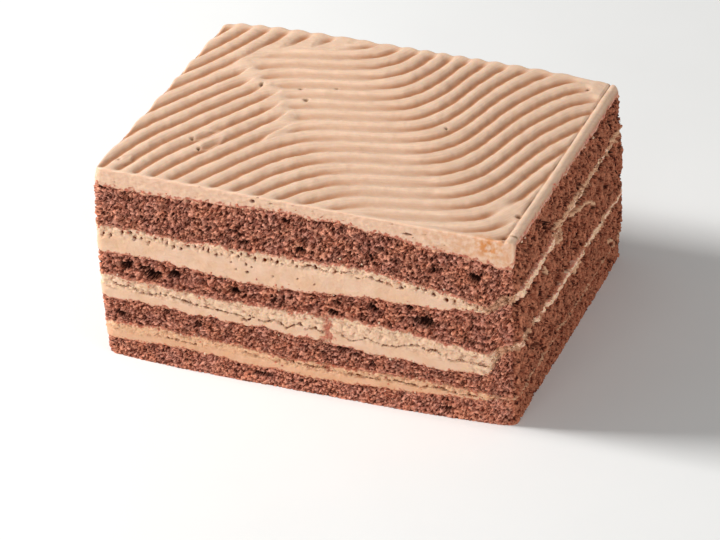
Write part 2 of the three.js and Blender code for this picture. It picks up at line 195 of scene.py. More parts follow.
# Marks in the cut creams, seen from a long face's own side.
# Round pits: along, height, width, tallness. Cracks: a line of points.
CREAM_PITS = {
    "filling_3": (
        *pit_row((-68.4, 46.2), (-65.6, 46.2), (-61.6, 47.9), (-58.6, 48.3), (-57.2, 46.6), (-54.8, 47.1)),
        *pit_row((-52.4, 46.0), (-50.2, 47.8), (-47.6, 48.0), (-46.2, 46.6), (-43.8, 46.2), (-41.2, 46.0)),
        *pit_row((-38.8, 47.2), (-36.4, 47.4), (-31.8, 47.0), (-24.0, 47.6), (-20.6, 47.6), (-18.2, 47.8)),
        *pit_row((-12.8, 46.8), (-10.4, 47.6), (-8.4, 47.0), (-3.2, 48.0), (2.0, 48.0), (4.4, 47.4)),
        *pit_row((47.8, 43.9), (50.4, 43.8), (53.4, 44.2), (55.4, 43.6), (57.8, 43.0), (60.0, 42.6)),
        (-16.0, 46.8, 1.4, 2.0), (-24.0, 44.0, 0.9, 0.9), (-22.4, 41.8, 1.0, 0.8),
        (-19.2, 44.0, 0.7, 1.1), (-18.6, 41.5, 1.1, 0.8), (-17.2, 43.5, 0.7, 0.6),
        (-10.0, 41.5, 0.7, 0.6), (-1.6, 42.1, 0.8, 0.7), (4.0, 41.2, 1.0, 0.7),
        (-21.6, 46.4, 1.0, 1.3), (-29.0, 46.0, 0.8, 1.8), (-27.4, 46.4, 0.8, 1.2),
        (-33.4, 47.2, 0.8, 1.2), (-2.0, 46.6, 1.0, 1.2),
    ),
    "filling_2": ((-21.0, 23.0, 1.6, 1.2), (-18.6, 24.8, 1.0, 0.8), (-6.4, 22.8, 1.2, 0.9)),
    "filling_1": ((-21.3, 10.4, 0.8, 1.0), (15.4, 8.6, 0.8, 1.2)),
    "combed_cream_top": (
        (-16.4, 67.6, 1.7, 1.4), (-14.6, 69.2, 0.8, 0.5), (-10.1, 67.8, 0.7, 0.6),
        (6.9, 65.9, 0.5, 0.5), (35.4, 65.1, 3.4, 0.8),
    ),
}
CREAM_CRACKS = {
    "filling_3": (
        ((0, 47.0), (3, 47.8), (6.5, 46.8), (10.5, 46.7), (13.5, 47.6), (16, 47.8), (18.5, 46.2)),
        ((18.5, 46.2), (22, 47.6), (25, 46.4), (28, 46.2), (31.5, 45.0), (33.5, 45.4)),
        ((38, 46.2), (41, 46.0), (44.5, 44.6)),
    ),
    "filling_2": (
        ((-66, 28.2), (-62, 27.6), (-60, 28.2), (-57, 26.4), (-53, 26.0), (-49.5, 27.2)),
        ((-49.5, 27.2), (-44, 26.6), (-39, 25.6), (-34, 25.0), (-27, 24.6), (-21.5, 24.2)),
        ((-21.5, 24.2), (-20, 22.6), (-17.5, 24.6), (-14, 23.4), (-10, 24.8), (-6, 22.8), (-2, 25.2)),
        ((-2, 25.2), (0.4, 23.6), (3.4, 24.6), (6.6, 22.6)),
        ((12.6, 23.4), (15.8, 22.0), (20.8, 24.2), (26, 22.6), (31, 23.0), (34, 24.2), (38, 24.6)),
        ((38, 24.6), (41, 23.6), (44, 24.0), (47, 22.2), (50, 21.6), (55, 22.2), (59, 21.4), (61.5, 21.2)),
    ),
    "filling_1": (
        ((-49, 10.2), (-44, 9.8), (-39, 9.6)),
        ((-8, 9.9), (-3, 9.6), (2, 9.2), (6, 9.5)),
        ((14, 9.4), (19, 8.6), (25, 9.2), (32, 9.7), (39, 9.0), (45, 10.0), (52, 8.9), (60, 9.4)),
    ),
}
# Brown breaks that run through a filling from one sponge to the next.
CREAM_BREAKS = {
    "filling_2": (((6.4, 29.6), (8.3, 27.0), (7.0, 24.4), (8.8, 22.2)), ((8.8, 22.2), (5.6, 20.6))),
    "filling_1": (((6.0, 11.4), (7.4, 9.4)),),
}

# Where each filling gives out towards the trimmed face.
CREAM_ENDS = (63.2, 62.2, 59.4)

# Mesh spacing on the cut sides and on the combed top, the bevel between them, how far a side runs
# past its layer where that is closed, and how far in the rings of a cap lie.
SIDE_STEP, TOP_STEP = ((0.32, 0.45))
TOP_BEVEL, LAP, CAP_INSETS = 0.3, 0.5, (2.8, 7.0)
# Values of a mark, a rim and a height where a mesh has none near.
NO_MARK, FAR_INSIDE = 3.0, 9.0


def linear(hex_colour):
    """An sRGB hex colour as linear red, green, blue."""
    channels = [int(hex_colour[i : i + 2], 16) / 255 for i in (1, 3, 5)]
    return tuple(c / 12.92 if c <= 0.04045 else ((c + 0.055) / 1.055) ** 2.4 for c in channels)


def smooth(value, start, end):
    """0 before start, 1 after end, with an eased run between them."""
    share = np.clip((value - start) / (end - start), 0, 1)
    return share * share * (3 - 2 * share)


def mix(a, b, share):
    return a + (b - a) * share


# ---------------------------------------------------------------- the slab's rules


def crest_height(x, y):
    """Height of the ruled top, to the crests of the ridges."""
    across, back = (x + HALF_LENGTH) / LENGTH, (y + HALF_DEPTH) / DEPTH
    front = mix(TOP_FRONT_LEFT, TOP_FRONT_RIGHT, across)
    return mix(front, mix(TOP_BACK_LEFT, TOP_BACK_RIGHT, across), back)


def crown(x, y):
    """How far the soft top stands above the ruled one, towards the back rim."""
    return CROWN * smooth(y, CROWN_START, HALF_DEPTH + 2) * np.clip(1 - (np.abs(x) / 74) ** 6, 0, 1)


def boundary_height(index, x, y):
    """Height of the boundary above layer number index, at a place in plan."""
    height, tilt, droop, ripple, crest = BOUNDARIES[index]
    fall = np.maximum(0, (x - DROOP_START) / (HALF_LENGTH - DROOP_START)) ** DROOP_POWER
    wave = np.cos(2 * np.pi * (x - crest) / RIPPLE_LENGTH)
    along_front = height + tilt * x / HALF_LENGTH + droop * fall + ripple * wave
    sink = crest_height(x, y) / crest_height(x, -HALF_DEPTH)
    inwards = np.clip((y + HALF_DEPTH) / 20, 0, 1)
    phase = 2 * np.pi * (y + HALF_DEPTH) / DEPTH_WAVE_LENGTH + 2 * index
    open_height = along_front * sink + DEPTH_WAVE * inwards * np.sin(phase)
    pinch = smooth(x, PINCH_START, PINCH_END)
    if index == len(BOUNDARIES) - 1:
        pinch = pinch * smooth(y, -HALF_DEPTH, -HALF_DEPTH + CORNER_CREAM)
        back = (y + HALF_DEPTH) / DEPTH
        pinched = crest_height(x, y) - mix(CREAM_EDGE_FRONT, CREAM_EDGE_BACK, back)
        pinched, open_height = pinched + 0.6 * crown(x, y), open_height + 0.6 * crown(x, y)
    else:
        middle, rise, thickness = LINES[index // 2]
        side = -1 if index % 2 == 0 else 1
        pinched = middle + rise * y / HALF_DEPTH + side * thickness / 2
    return mix(open_height, pinched, pinch)


def side_offset(z):
    """How far the cut side stands outside the nominal slab at a height."""
    level = np.clip(z / TOP_FRONT_LEFT, 0, 1)
    return SIDE_SWELL * np.sin(np.pi * level) - FOOT_INSET * (1 - level) ** 2


def side_fullness(ring, z):
    """How much fuller than the ruled side the layers settle: at the foot, the back and the short faces."""
    level = np.clip(z / TOP_FRONT_LEFT, 0, 1)
    foot = (FOOT_INSET + 0.25) * (1 - level) ** 2
    middle = np.clip(1 - (ring.x / HALF_LENGTH) ** 4, 0, 1)
    flare = FOOT_FLARE * np.clip(1 - z / FOOT_FLARE_HEIGHT, 0, 1) ** 1.5 * middle
    bulge = BACK_BULGE * smooth(z, 20, 55) * middle
    trimmed = np.interp(z, *TRIMMED_FULLNESS) * mix(0.45, 1.0, smooth(ring.y, -45, 35))
    short = np.where(ring.nx < 0, np.interp(z, *LEFT_FULLNESS), trimmed) * ring.nx**2
    return foot + short + np.where(ring.ny < 0, flare, bulge) * ring.ny**2


def comb_track(x, y):
    """Which tooth track a place is on (whole numbers are grooves), and how far along the drag."""
    amount, (bend_x, bend_y), (rise_x, rise_y) = CORNER_BEND
    bend = amount * np.exp(np.minimum(rise_x * (x - bend_x) + rise_y * (y - bend_y), 0.8))
    x, y = x + CROWN_LEAN[0] * crown(x, y), y + CROWN_LEAN[1] * crown(x, y)
    u = x * math.cos(DRAG_ANGLE) + y * math.sin(DRAG_ANGLE)
    w = -x * math.sin(DRAG_ANGLE) + y * math.cos(DRAG_ANGLE)
    track = (w - DRIFT * u) / TOOTH_PITCH
    for _ in range(14):
        along = u - track * TOOTH_LAG
        sway = SWAY * np.sin(2 * np.pi * (along - SWAY_START) / SWAY_LENGTH)
        wobble = WOBBLE * np.sin(4 * np.pi * (along - WOBBLE_START) / SWAY_LENGTH)
        track = (track + (w - DRIFT * along - sway - wobble) / TOOTH_PITCH) / 2
    return track - TRACK_SHIFT + bend, along


def pulled_track(x, y, tracks):
    """The tracks of one of the other pulls, as a curved field about its middle."""
    x, y = x + CROWN_LEAN[0] * crown(x, y), y + CROWN_LEAN[1] * crown(x, y)
    (middle_x, middle_y), (ax, ay, axx, axy, ayy, shift) = tracks
    x, y = x - middle_x, y - middle_y
    return ax * x + ay * y + axx * x * x + axy * x * y + ayy * y * y + shift


def within_outline(x, y, outline):
    """Whether each place lies inside a closed outline."""
    inside = np.zeros(x.shape, bool)
    for (x0, y0), (x1, y1) in zip(outline, outline[1:] + outline[:1]):
        if y0 != y1:
            inside ^= ((y0 > y) != (y1 > y)) & (x < x0 + (x1 - x0) * (y - y0) / (y1 - y0))
    return inside


def combing(x, y):
    """The combed field: tracks of the main pull, drag, tracks and share of the others, how far
    the others' grooves are filled at their ends, and how level the main ridges run.
    """
    track, along = comb_track(x, y)
    side_shift = np.rint(comb_track(*SIDE_START)[0] - pulled_track(*SIDE_START, SIDE_TRACKS))
    from_side, from_corner = (pulled_track(*CORNER_START, each) for each in (SIDE_TRACKS, CORNER_TRACKS))
    corner_shift = side_shift + np.rint(from_side - from_corner)
    from_front = smooth(y, -28, -14)
    pulled = mix(track, pulled_track(x, y, SIDE_TRACKS) + side_shift, from_front)
    in_corner, in_side = within_outline(x, y, CORNER_PULL), within_outline(x, y, SIDE_PULL)
    between = nearest_line(x, y, (CORNER_PULL[1:6],), 4.0)
    in_second = smooth(np.where(in_corner, between, -between), -2.0, 2.0)
    pulled = mix(pulled, pulled_track(x, y, CORNER_TRACKS) + corner_shift, in_second)
    rim = nearest_line(x, y, (CORNER_PULL[5:13], SIDE_PULL[5:14]), 14.0)
    inward = np.where(in_corner | in_side, rim, -rim)
    filled = (1 - smooth(inward, -3.0, 7.0)) * np.where(in_corner, 1.0, from_front)
    across, back = comb_track(x + 0.5, y)[0] - track, comb_track(x, y + 0.5)[0] - track
    level = 1 - smooth(np.abs(across) / np.hypot(across, back), 0.2, 0.75)
    return {
        "track": track - 0.1 * level,
        "drag": along,
        "pulled": pulled,
        "pull_share": smooth(inward, -3.5, 1.5),
        "filled": filled * RIDGE_DEPTH,
        "level_run": level,
    }


def lip_drop(x):
    """How far the lip's surface lies below its own crest line, across its width."""
    inner = HALF_LENGTH - LIP_WIDTH
    places = [inner - 2, inner, mix(inner, HALF_LENGTH, 0.3), mix(inner, HALF_LENGTH, 0.6)]
    places += [mix(inner, HALF_LENGTH, 0.85), HALF_LENGTH + SIDE_SWELL]
    return np.interp(x, places, [6.0, 1.5, 0.25, 0.0, 0.5, 2.2])


# ---------------------------------------------------------------- rings round the slab


def describe_ring(x, y):
    """Plan points round the slab, with the way out, the face and the place along that face."""
    a, b = HALF_LENGTH - EDGE_RADIUS, HALF_DEPTH - EDGE_RADIUS
    cx, cy = np.clip(x, -a, a), np.clip(y, -b, b)
    reach = np.hypot(x - cx, y - cy)
    nx, ny = (x - cx) / reach, (y - cy) / reach
    turn = (np.degrees(np.arctan2(ny, nx)) + 90.0001) % 360
    face = np.rint(turn / 90).astype(int) % 4
    core = np.where(turn <= 90.001, (cx + a) + (cy + b), 2 * a + 2 * b + (a - cx) + (b - cy))
    return SimpleNamespace(
        x=x,
        y=y,
        nx=nx,
        ny=ny,
        face=face,
        along=np.choose(face, [x, y, -x, -y]),
        round=core + EDGE_RADIUS * np.radians(turn),
    )


def even_ring(step):
    """Points at even spacing round the nominal slab, counter-clockwise."""
    a, b = HALF_LENGTH - EDGE_RADIUS, HALF_DEPTH - EDGE_RADIUS
    quarter = EDGE_RADIUS * math.pi / 2
    total = 4 * (a + b) + 4 * quarter
    place = np.arange(round(total / step)) * total / round(total / step)
    x, y = np.zeros_like(place), np.zeros_like(place)
    start = 0.0
    for side in range(4):
        reach, other = ((a, b), (b, a))[side % 2]
        local = place - start
        here = (local >= 0) & (local < 2 * reach + quarter)
        run, angle = np.minimum(local, 2 * reach), np.maximum(local - 2 * reach, 0) / EDGE_RADIUS
        u = -reach + run + EDGE_RADIUS * np.sin(angle)
        v = other + EDGE_RADIUS * np.cos(angle)
        turned = ((u, -v), (v, u), (-u, v), (-v, -u))[side]
        x[here], y[here] = turned[0][here], turned[1][here]
        start += 2 * reach + quarter
    return describe_ring(x, y)


def wander(place, seed, spacing):
    """A seeded random walk round the slab, from -1 to 1, smooth over the spacing."""
    perimeter = 4 * (HALF_LENGTH + HALF_DEPTH) - (8 - 2 * math.pi) * EDGE_RADIUS
    knots = round(perimeter / spacing)
    values = np.random.default_rng(seed).uniform(-1, 1, knots)
    position = place * knots / perimeter
    low = np.floor(position).astype(int)
    return mix(values[low % knots], values[(low + 1) % knots], smooth(position - low, 0, 1))


def boundary_edges(ring):
    """The boundaries where they come out at the sides, with the small wander of a cut edge."""
    edges = []
    for index in range(len(BOUNDARIES)):
        height = boundary_height(index, ring.x, ring.y)
        pinch = smooth(ring.x, PINCH_START, PINCH_END)
        torn = 0.55 if index in (2, 3) else 0.3
        uneven = 0.0
        for amount, seed, spacing in ((0.36, 10, 9), (torn, 20, 3.6), (0.32, 30, 1.5)):
            uneven = uneven + amount * wander(ring.round, seed + index, spacing)
        ragged = 1.7 if index == 6 else 0.75
        edges.append(height + uneven * mix(1.0, ragged, pinch))
    edges[4] = edges[4] + 2.8 * smooth(ring.x, 42, 57) * (1 - smooth(ring.x, 60, 66))
    for lower in (0, 2, 4):
        middle = (edges[lower] + edges[lower + 1]) / 2
        half = np.maximum((edges[lower + 1] - edges[lower]) / 2, 0.1)
        edges[lower], edges[lower + 1] = middle - half, middle + half
    return edges


def cream_shown(ring):
    """For each filling, how freely it shows between the sponges, and how far its edge lies back."""
    shown, sunk = [], []
    for end in CREAM_ENDS:
        shown.append(1 - smooth(ring.x, end - 3.5, end - 1.5))
        sunk.append(1.7 * smooth(ring.x, end - 2.0, end + 3.0))
    trimmed = (ring.face == 1) * smooth(ring.y, -53.5, -51.5) * (1 - smooth(ring.y, 53, 54.5))
    broken = smooth(wander(ring.round, 61, 4.5) + 0.5 * wander(ring.round, 62, 1.8), -0.8, -0.2)
    gap = 1 - 0.9 * smooth(ring.y, -44.5, -43) * (1 - smooth(ring.y, -36.5, -35))
    thinning = 1 - 0.45 * smooth(ring.y, 8, 14)
    line = trimmed * broken * gap * thinning
    shown[1], sunk[1] = np.maximum(shown[1], line), np.where(ring.face == 1, 1.2 - 1.6 * line, sunk[1])
    band = (ring.face == 1) * smooth(ring.y, -54, -50) * (1 - smooth(ring.y, -19, -16))
    band = band * smooth(wander(ring.round, 63, 2.4), -0.95, -0.5)
    shown[2], sunk[2] = np.maximum(shown[2], band), np.where(ring.face == 1, 1.2 - 1.65 * band, sunk[2])
    return shown, sunk


# ---------------------------------------------------------------- meshes


def mesh_of(name, points, faces, attributes):
    """A mesh in metres from points in millimetres, with its named point attributes."""
    mesh = bpy.data.meshes.new(name)
    mesh.from_pydata((points * MM).tolist(), [], faces)
    mesh.shade_smooth()
    for key, values in attributes.items():
        vector = values.ndim == 2
        made = mesh.attributes.new(key, "FLOAT_VECTOR" if vector else "FLOAT", "POINT")
        made.data.foreach_set("vector" if vector else "value", values.astype(np.float32).ravel())
    return mesh


def quads_between(low, high):
    """Quads between rings of point numbers and the rings next above them."""
    right_low, right_high = np.roll(low, -1, axis=1), np.roll(high, -1, axis=1)
    return np.stack([low, right_low, right_high, high], -1).reshape(-1, 4).tolist()


def fan(ring, middle):
    """Triangles from a ring of point numbers to a middle point, seen from outside."""
    return [(a, b, middle) for a, b in zip(ring.tolist(), np.roll(ring, -1).tolist())]


def fan_below(ring, middle):
    """The same fan for the underside."""
    return [(b, a, middle) for a, b, middle in fan(ring, middle)]


def side_places(ring, z, inset=0.0):
    """Points on the cut sides at the heights z, drawn in by the inset."""
    offset, out = side_offset(z), side_fullness(ring, z) - inset
    x = ring.x * (1 + offset / HALF_LENGTH) + ring.nx * out
    y = ring.y * (1 + offset / HALF_DEPTH) + ring.ny * out
    return np.stack([x, y, z], -1)


def cap_ring(ring, inwards, z):
    """One ring of a cap, inwards of the nominal side."""
    plan = (ring.x * (1 - inwards / HALF_LENGTH), ring.y * (1 - inwards / HALF_DEPTH))
    return np.stack([*plan, z], -1)[None]


def nearest_mark(along, z, marks):
    """Distance to the nearest oval mark, 1 at its rim."""
    least = np.full(along.shape, NO_MARK)
    for centre, height, width, tall in marks:
        least = np.minimum(least, np.hypot((along - centre) * 2 / width, (z - height) * 2 / tall))
    return least


def nearest_line(along, z, lines, reach=NO_MARK):
    """Distance in millimetres to the nearest of the broken lines, as far as the reach."""
    least = np.full(along.shape, reach)
    for line in lines:
        for (x0, z0), (x1, z1) in zip(line, line[1:]):
            dx, dz = x1 - x0, z1 - z0
            share = np.clip(((along - x0) * dx + (z - z0) * dz) / (dx * dx + dz * dz), 0, 1)
            least = np.minimum(least, np.hypot(along - x0 - dx * share, z - z0 - dz * share))
    return least


def layer_mesh(name, ring, lower, upper, over, end_inset, hidden, step, marks):
    """One layer of the slab as a closed mesh: finely divided sides between two capped ends.

    lower and upper are the boundaries; over says how far the sides run past each of them, to
    close the joint with the neighbour; end_inset draws in those ends; hidden sinks the side.
    """
    count = ring.x.size
    bottom, top = lower - over[0], upper + over[1]
    rows = int(np.ceil(np.max(top - bottom) / step)) + 1
    share = np.linspace(0, 1, rows)[:, None]
    z = bottom + (top - bottom) * share
    past = np.maximum(lower - z if over[0].any() else -z - 9, z - upper)
    sides = side_places(ring, z, end_inset * smooth(past, -0.25, 0.75) + hidden)
    low = lower + GAP / 2 if over[0].any() else lower
    high = np.maximum(upper - GAP / 2, low + 0.05)
    below = [cap_ring(ring, inwards, low) for inwards in reversed(CAP_INSETS)]
    above = [cap_ring(ring, inwards, high) for inwards in CAP_INSETS]
    grid = np.concatenate([*below, sides, *above])
    centres = np.array([[0, 0, grid[0, :, 2].mean()], [0, 0, grid[-1, :, 2].mean()]])
    points = np.concatenate([grid.reshape(-1, 3), centres])

    def padded(values, rest=0.0):
        """Values on the sides, with a resting value for the caps."""
        caps = np.full((len(CAP_INSETS), count) + values.shape[2:], rest)
        whole = np.concatenate([caps, np.broadcast_to(values, (rows, count) + values.shape[2:]), caps])
        flat = whole.reshape((-1,) + values.shape[2:])
        return np.concatenate([flat, np.full((2,) + values.shape[2:], rest)])

    hold = mix(0.35, 1.0, smooth(np.minimum(share, 1 - share) * (rows - 1), 0, 3))
    outward = np.stack(np.broadcast_arrays(ring.nx * hold, ring.ny * hold, 0 * hold), -1)
    along = np.broadcast_to(ring.along, z.shape)
    long_face = np.broadcast_to(ring.face % 2 == 0, z.shape)
    attributes = {
        "outward": padded(outward),
        "inside": padded(-past, FAR_INSIDE),
        "level": padded((z - lower) / np.maximum(upper - lower, 0.5), 0.5),
        "trimmed": padded(np.broadcast_to(smooth(ring.nx, 0.35, 0.9), z.shape)),
    }
    for key, long_marks, short_marks, measure in marks:
        on_long, on_short = measure(along, z, long_marks), measure(along, z, short_marks)
        attributes[key] = padded(np.where(long_face, on_long, on_short), NO_MARK)
    index = np.arange(grid.shape[0] * count).reshape(-1, count)
    faces = quads_between(index[:-1], index[1:]) + fan_below(index[0], index.size)
    return mesh_of(name, points, faces + fan(index[-1], index.size + 1), attributes)


def combed_top_mesh():
    """The top layer before combing: an even grid over the slab, its cut sides and its underside."""
    columns, rows = round(LENGTH / TOP_STEP), round(DEPTH / TOP_STEP)
    across = np.linspace(-1, 1, columns + 1) * (HALF_LENGTH - TOP_BEVEL)
    back = np.linspace(-1, 1, rows + 1) * (HALF_DEPTH - TOP_BEVEL)
    y, x = np.meshgrid(back, across, indexing="ij")
    corner_x, corner_y = HALF_LENGTH - TOP_BEVEL - EDGE_RADIUS, HALF_DEPTH - TOP_BEVEL - EDGE_RADIUS
    a = np.maximum(np.abs(x) - corner_x, 0) / EDGE_RADIUS
    b = np.maximum(np.abs(y) - corner_y, 0) / EDGE_RADIUS
    x = np.where(a > 0, np.sign(x) * (corner_x + EDGE_RADIUS * a * np.sqrt(1 - b * b / 2)), x)
    y = np.where(b > 0, np.sign(y) * (corner_y + EDGE_RADIUS * b * np.sqrt(1 - a * a / 2)), y)
    z = crest_height(x, y) + crown(x, y)
    offset = side_offset(z)
    fuller = smooth(-x, HALF_LENGTH - 8, HALF_LENGTH)
    rear = BACK_BULGE * smooth(y, HALF_DEPTH - 12, HALF_DEPTH) * np.clip(1 - (x / HALF_LENGTH) ** 4, 0, 1)
    sheet = np.stack([x * (1 + offset / HALF_LENGTH) - fuller, y * (1 + offset / HALF_DEPTH) + rear, z], -1)
    index = np.arange(x.size).reshape(x.shape)
    loop = np.concatenate([index[0, :-1], index[:-1, -1], index[-1, :0:-1], index[:0:-1, 0]])
    plan_x = x.ravel()[loop] * HALF_LENGTH / (HALF_LENGTH - TOP_BEVEL)
    plan_y = y.ravel()[loop] * HALF_DEPTH / (HALF_DEPTH - TOP_BEVEL)
    ring = describe_ring(plan_x, plan_y)
    lower = boundary_edges(ring)[6]
    top = crest_height(ring.x, ring.y) + crown(ring.x, ring.y) - TOP_BEVEL
    steps = int(np.ceil((np.max(top - lower) + LAP) / TOP_STEP)) + 1
    side_z = (lower - LAP) + (top - lower + LAP) * np.linspace(1, 0, steps)[:, None]
    side = side_places(ring, side_z, 0.7 * smooth(lower - side_z, -0.25, 0.75))
    skirt = np.concatenate([side, *(cap_ring(ring, inwards, lower + GAP / 2) for inwards in CAP_INSETS)])
    middle = np.array([[0, 0, (lower + GAP / 2).mean()]])
    points = np.concatenate([sheet.reshape(-1, 3), skirt.reshape(-1, 3), middle])
    quads = np.stack([index[:-1, :-1], index[:-1, 1:], index[1:, 1:], index[1:, :-1]], -1)
    faces = quads.reshape(-1, 4).tolist()
    count, start = loop.size, index.size
    chain = np.concatenate([loop[None], start + np.arange(skirt.shape[0] * count).reshape(-1, count)])
    faces += quads_between(chain[1:], chain[:-1]) + fan_below(chain[-1], len(points) - 1)

    sheet_size, skirt_rows = index.size, skirt.shape[0]
    combed = combing(sheet[..., 0], sheet[..., 1])

    def joined(on_sheet, on_skirt=None, rest=0.0):
        """Values on the sheet, then on the skirt (as at the sheet's rim where none are given)."""
        if on_skirt is None:
            on_skirt = np.broadcast_to(on_sheet.ravel()[loop], (skirt_rows, count))
        tail = np.full((1,) + on_skirt.shape[2:], rest)
        flat_sheet = on_sheet.reshape((sheet_size,) + on_skirt.shape[2:])
        return np.concatenate([flat_sheet, on_skirt.reshape((-1,) + on_skirt.shape[2:]), tail])

    full = (skirt_rows, count)
    below = np.full(full, 99.0)
    below[:steps] = top - side_z
    inside = np.full(full, FAR_INSIDE)
    inside[:steps] = side_z - lower
    inside = inside * np.where(ring.nx > 0.5, 0.45, 1.0)
    hold = np.zeros(full)
    hold[:steps] = smooth(np.arange(steps)[::-1], -1, 3)[:, None] * smooth(np.arange(steps), -1, 3)[:, None]
    outward = np.stack([ring.nx * hold, ring.ny * hold, 0 * hold], -1)
    to_rim = np.minimum(HALF_LENGTH - np.abs(x), HALF_DEPTH - np.abs(y))
    upward = np.stack([0 * x, 0 * x, smooth(to_rim, 0.4, 3)], -1)
    inner = HALF_LENGTH - LIP_WIDTH
    lip = LIP_RISE - lip_drop(sheet[..., 0])
    skirt_lip = np.where(skirt[..., 0] > inner - 2, LIP_RISE - lip_drop(skirt[0, :, 0]), -9.0)
    on_long = nearest_mark(np.broadcast_to(ring.along, full), skirt[..., 2], CREAM_PITS["combed_cream_top"])
    hollow = np.where((ring.face % 2 == 0) & (np.arange(skirt_rows) < steps)[:, None], on_long, NO_MARK)
    crack = nearest_line(x, y, (CORNER_CRACK,)) / 0.5
    fade = mix(0.2, 1.0, smooth(y + HALF_DEPTH, 0.3, 3.4)) * mix(0.45, 1.0, smooth(HALF_DEPTH - y, 0.3, 4.0))
    for fade_x, fade_y, stretch, lost, outer, core in COMB_FADES:
        near = smooth(-np.hypot(x - fade_x, (y - fade_y) / stretch), -outer, -core)
        fade = fade * (1 - lost * near)
    browned = []
    for px, py, pz in (np.moveaxis(sheet, -1, 0), np.moveaxis(skirt, -1, 0)):
        far = np.sqrt((px - BROWNED_X) ** 2 + 4 * (py + HALF_DEPTH) ** 2 + 1.5 * (pz - BROWNED_Z) ** 2)
        along_edge = 0.35 * smooth(px, 30, 60) * (1 - smooth(py + HALF_DEPTH, -0.5, 2.5))
        browned.append(np.maximum(0.95 * (1 - smooth(far, 1, 9)), along_edge))
    fold = nearest_line(sheet[..., 0], sheet[..., 1], COMB_FOLDS)
    attributes = {
        "comb_fade": joined(fade, None, 1.0),
        **{key: joined(values) for key, values in combed.items()},
        "fold": joined(fold, np.full(full, NO_MARK), NO_MARK),
        "under_lip": joined(4.0 * smooth(sheet[..., 0], inner - 0.2, inner + 1.4)),
        "lip": joined(lip, skirt_lip, -9.0),
        "comb_share": joined(np.ones_like(x), 1 - smooth(below, 0, 1.3)),
        "outward": joined(upward, outward),
        "cut_side": joined(np.zeros_like(x), np.ones(full) * (ring.face != 1)),
        "hollow": joined(np.minimum(nearest_mark(x, y, COMB_DIPS), crack), hollow, NO_MARK),
        "amber": joined(*browned),
        "inside": joined(np.full(x.shape, FAR_INSIDE), inside, FAR_INSIDE),
    }
    return mesh_of("combed_top", points, faces, attributes)


# ---------------------------------------------------------------- node trees

RANGE_INPUTS = ("Value", "From Min", "From Max", "To Min", "To Max")
# The nodes in use by a short name: type, settings, and the inputs that its values go to in order.
# Any other name is that operation of the Math node.
KINDS = {
    "position": ("GeometryNodeInputPosition", {}, ()),
    "named": ("GeometryNodeInputNamedAttribute", {"data_type": "FLOAT"}, ("Name",)),
    "named vector": ("GeometryNodeInputNamedAttribute", {"data_type": "FLOAT_VECTOR"}, ("Name",)),
    "store": ("GeometryNodeStoreNamedAttribute", {"data_type": "FLOAT"}, ("Geometry", "Name", "Value")),
    "shift": ("GeometryNodeSetPosition", {}, ("Geometry", "Offset")),
    "reshape": ("GeometryNodeSetPosition", {}, ("Geometry", "Position")),
    "ball": ("GeometryNodeMeshIcoSphere", {}, ("Radius", "Subdivisions")),
    "random": ("FunctionNodeRandomValue", {"data_type": "FLOAT_VECTOR"}, (0, 1, "Seed")),
    "scatter": ("GeometryNodeInstanceOnPoints", {}, ("Points", "Instance", "Rotation", "Scale")),
    "realize": ("GeometryNodeRealizeInstances", {}, (0,)),
    "material": ("GeometryNodeSetMaterial", {}, ("Geometry", "Material")),
    "result": ("NodeGroupOutput", {}, (0,)),
    "grow": ("ShaderNodeVectorMath", {"operation": "SCALE"}, (0, "Scale")),
    "sum": ("ShaderNodeVectorMath", {"operation": "ADD"}, (0, 1)),
    "product": ("ShaderNodeVectorMath", {"operation": "MULTIPLY"}, (0, 1)),
    "product and sum": ("ShaderNodeVectorMath", {"operation": "MULTIPLY_ADD"}, (0, 1, 2)),
    "vector": ("ShaderNodeCombineXYZ", {}, (0, 1, 2)),
    "vector parts": ("ShaderNodeSeparateXYZ", {}, (0,)),
    "colour parts": ("FunctionNodeSeparateColor", {}, (0,)),
    "noise": ("ShaderNodeTexNoise", {}, ("Vector", "Scale", "Detail", "Roughness")),
    "cells": ("ShaderNodeTexVoronoi", {}, ("Vector", "Scale")),
    "walls": ("ShaderNodeTexVoronoi", {"feature": "DISTANCE_TO_EDGE"}, ("Vector", "Scale")),
    "range": ("ShaderNodeMapRange", {}, RANGE_INPUTS),
    "ease": ("ShaderNodeMapRange", {"interpolation_type": "SMOOTHSTEP"}, RANGE_INPUTS),
    "mix": ("ShaderNodeMix", {}, (0, 2, 3)),
    "blend": ("ShaderNodeMix", {"data_type": "RGBA"}, (0, 6, 7)),
    "tint": ("ShaderNodeMix", {"data_type": "RGBA", "blend_type": "MULTIPLY"}, (0, 6, 7)),
    "bump": ("ShaderNodeBump", {}, ("Strength", "Distance", "Height")),
    "attribute": ("ShaderNodeAttribute", {}, ()),
    "coordinates": ("ShaderNodeTexCoord", {}, ()),
}


def fill(made, inputs):
    """Gives a node's inputs a value, a colour, a socket, or another node's first output in use."""
    for key, value in dict(inputs).items():
        socket = made.inputs[key]
        if isinstance(value, bpy.types.Node):
            value = next(each for each in value.outputs if each.enabled)
        if isinstance(value, bpy.types.NodeSocket):
            made.id_data.links.new(value, socket)
        else:
            socket.default_value = (*value, 1.0) if socket.type == "RGBA" else value


def node(tree, kind, *values, **settings):
    """Adds a node by its short name, with its settings, and values or links for its inputs in order."""
    type_name, usual, inputs = KINDS.get(kind) or ("ShaderNodeMath", {"operation": kind}, (0, 1, 2))
    made = tree.nodes.new(type_name)
    for key, value in {**usual, **settings}.items():
        setattr(made, key, value)
    fill(made, zip(inputs, values))
    return made


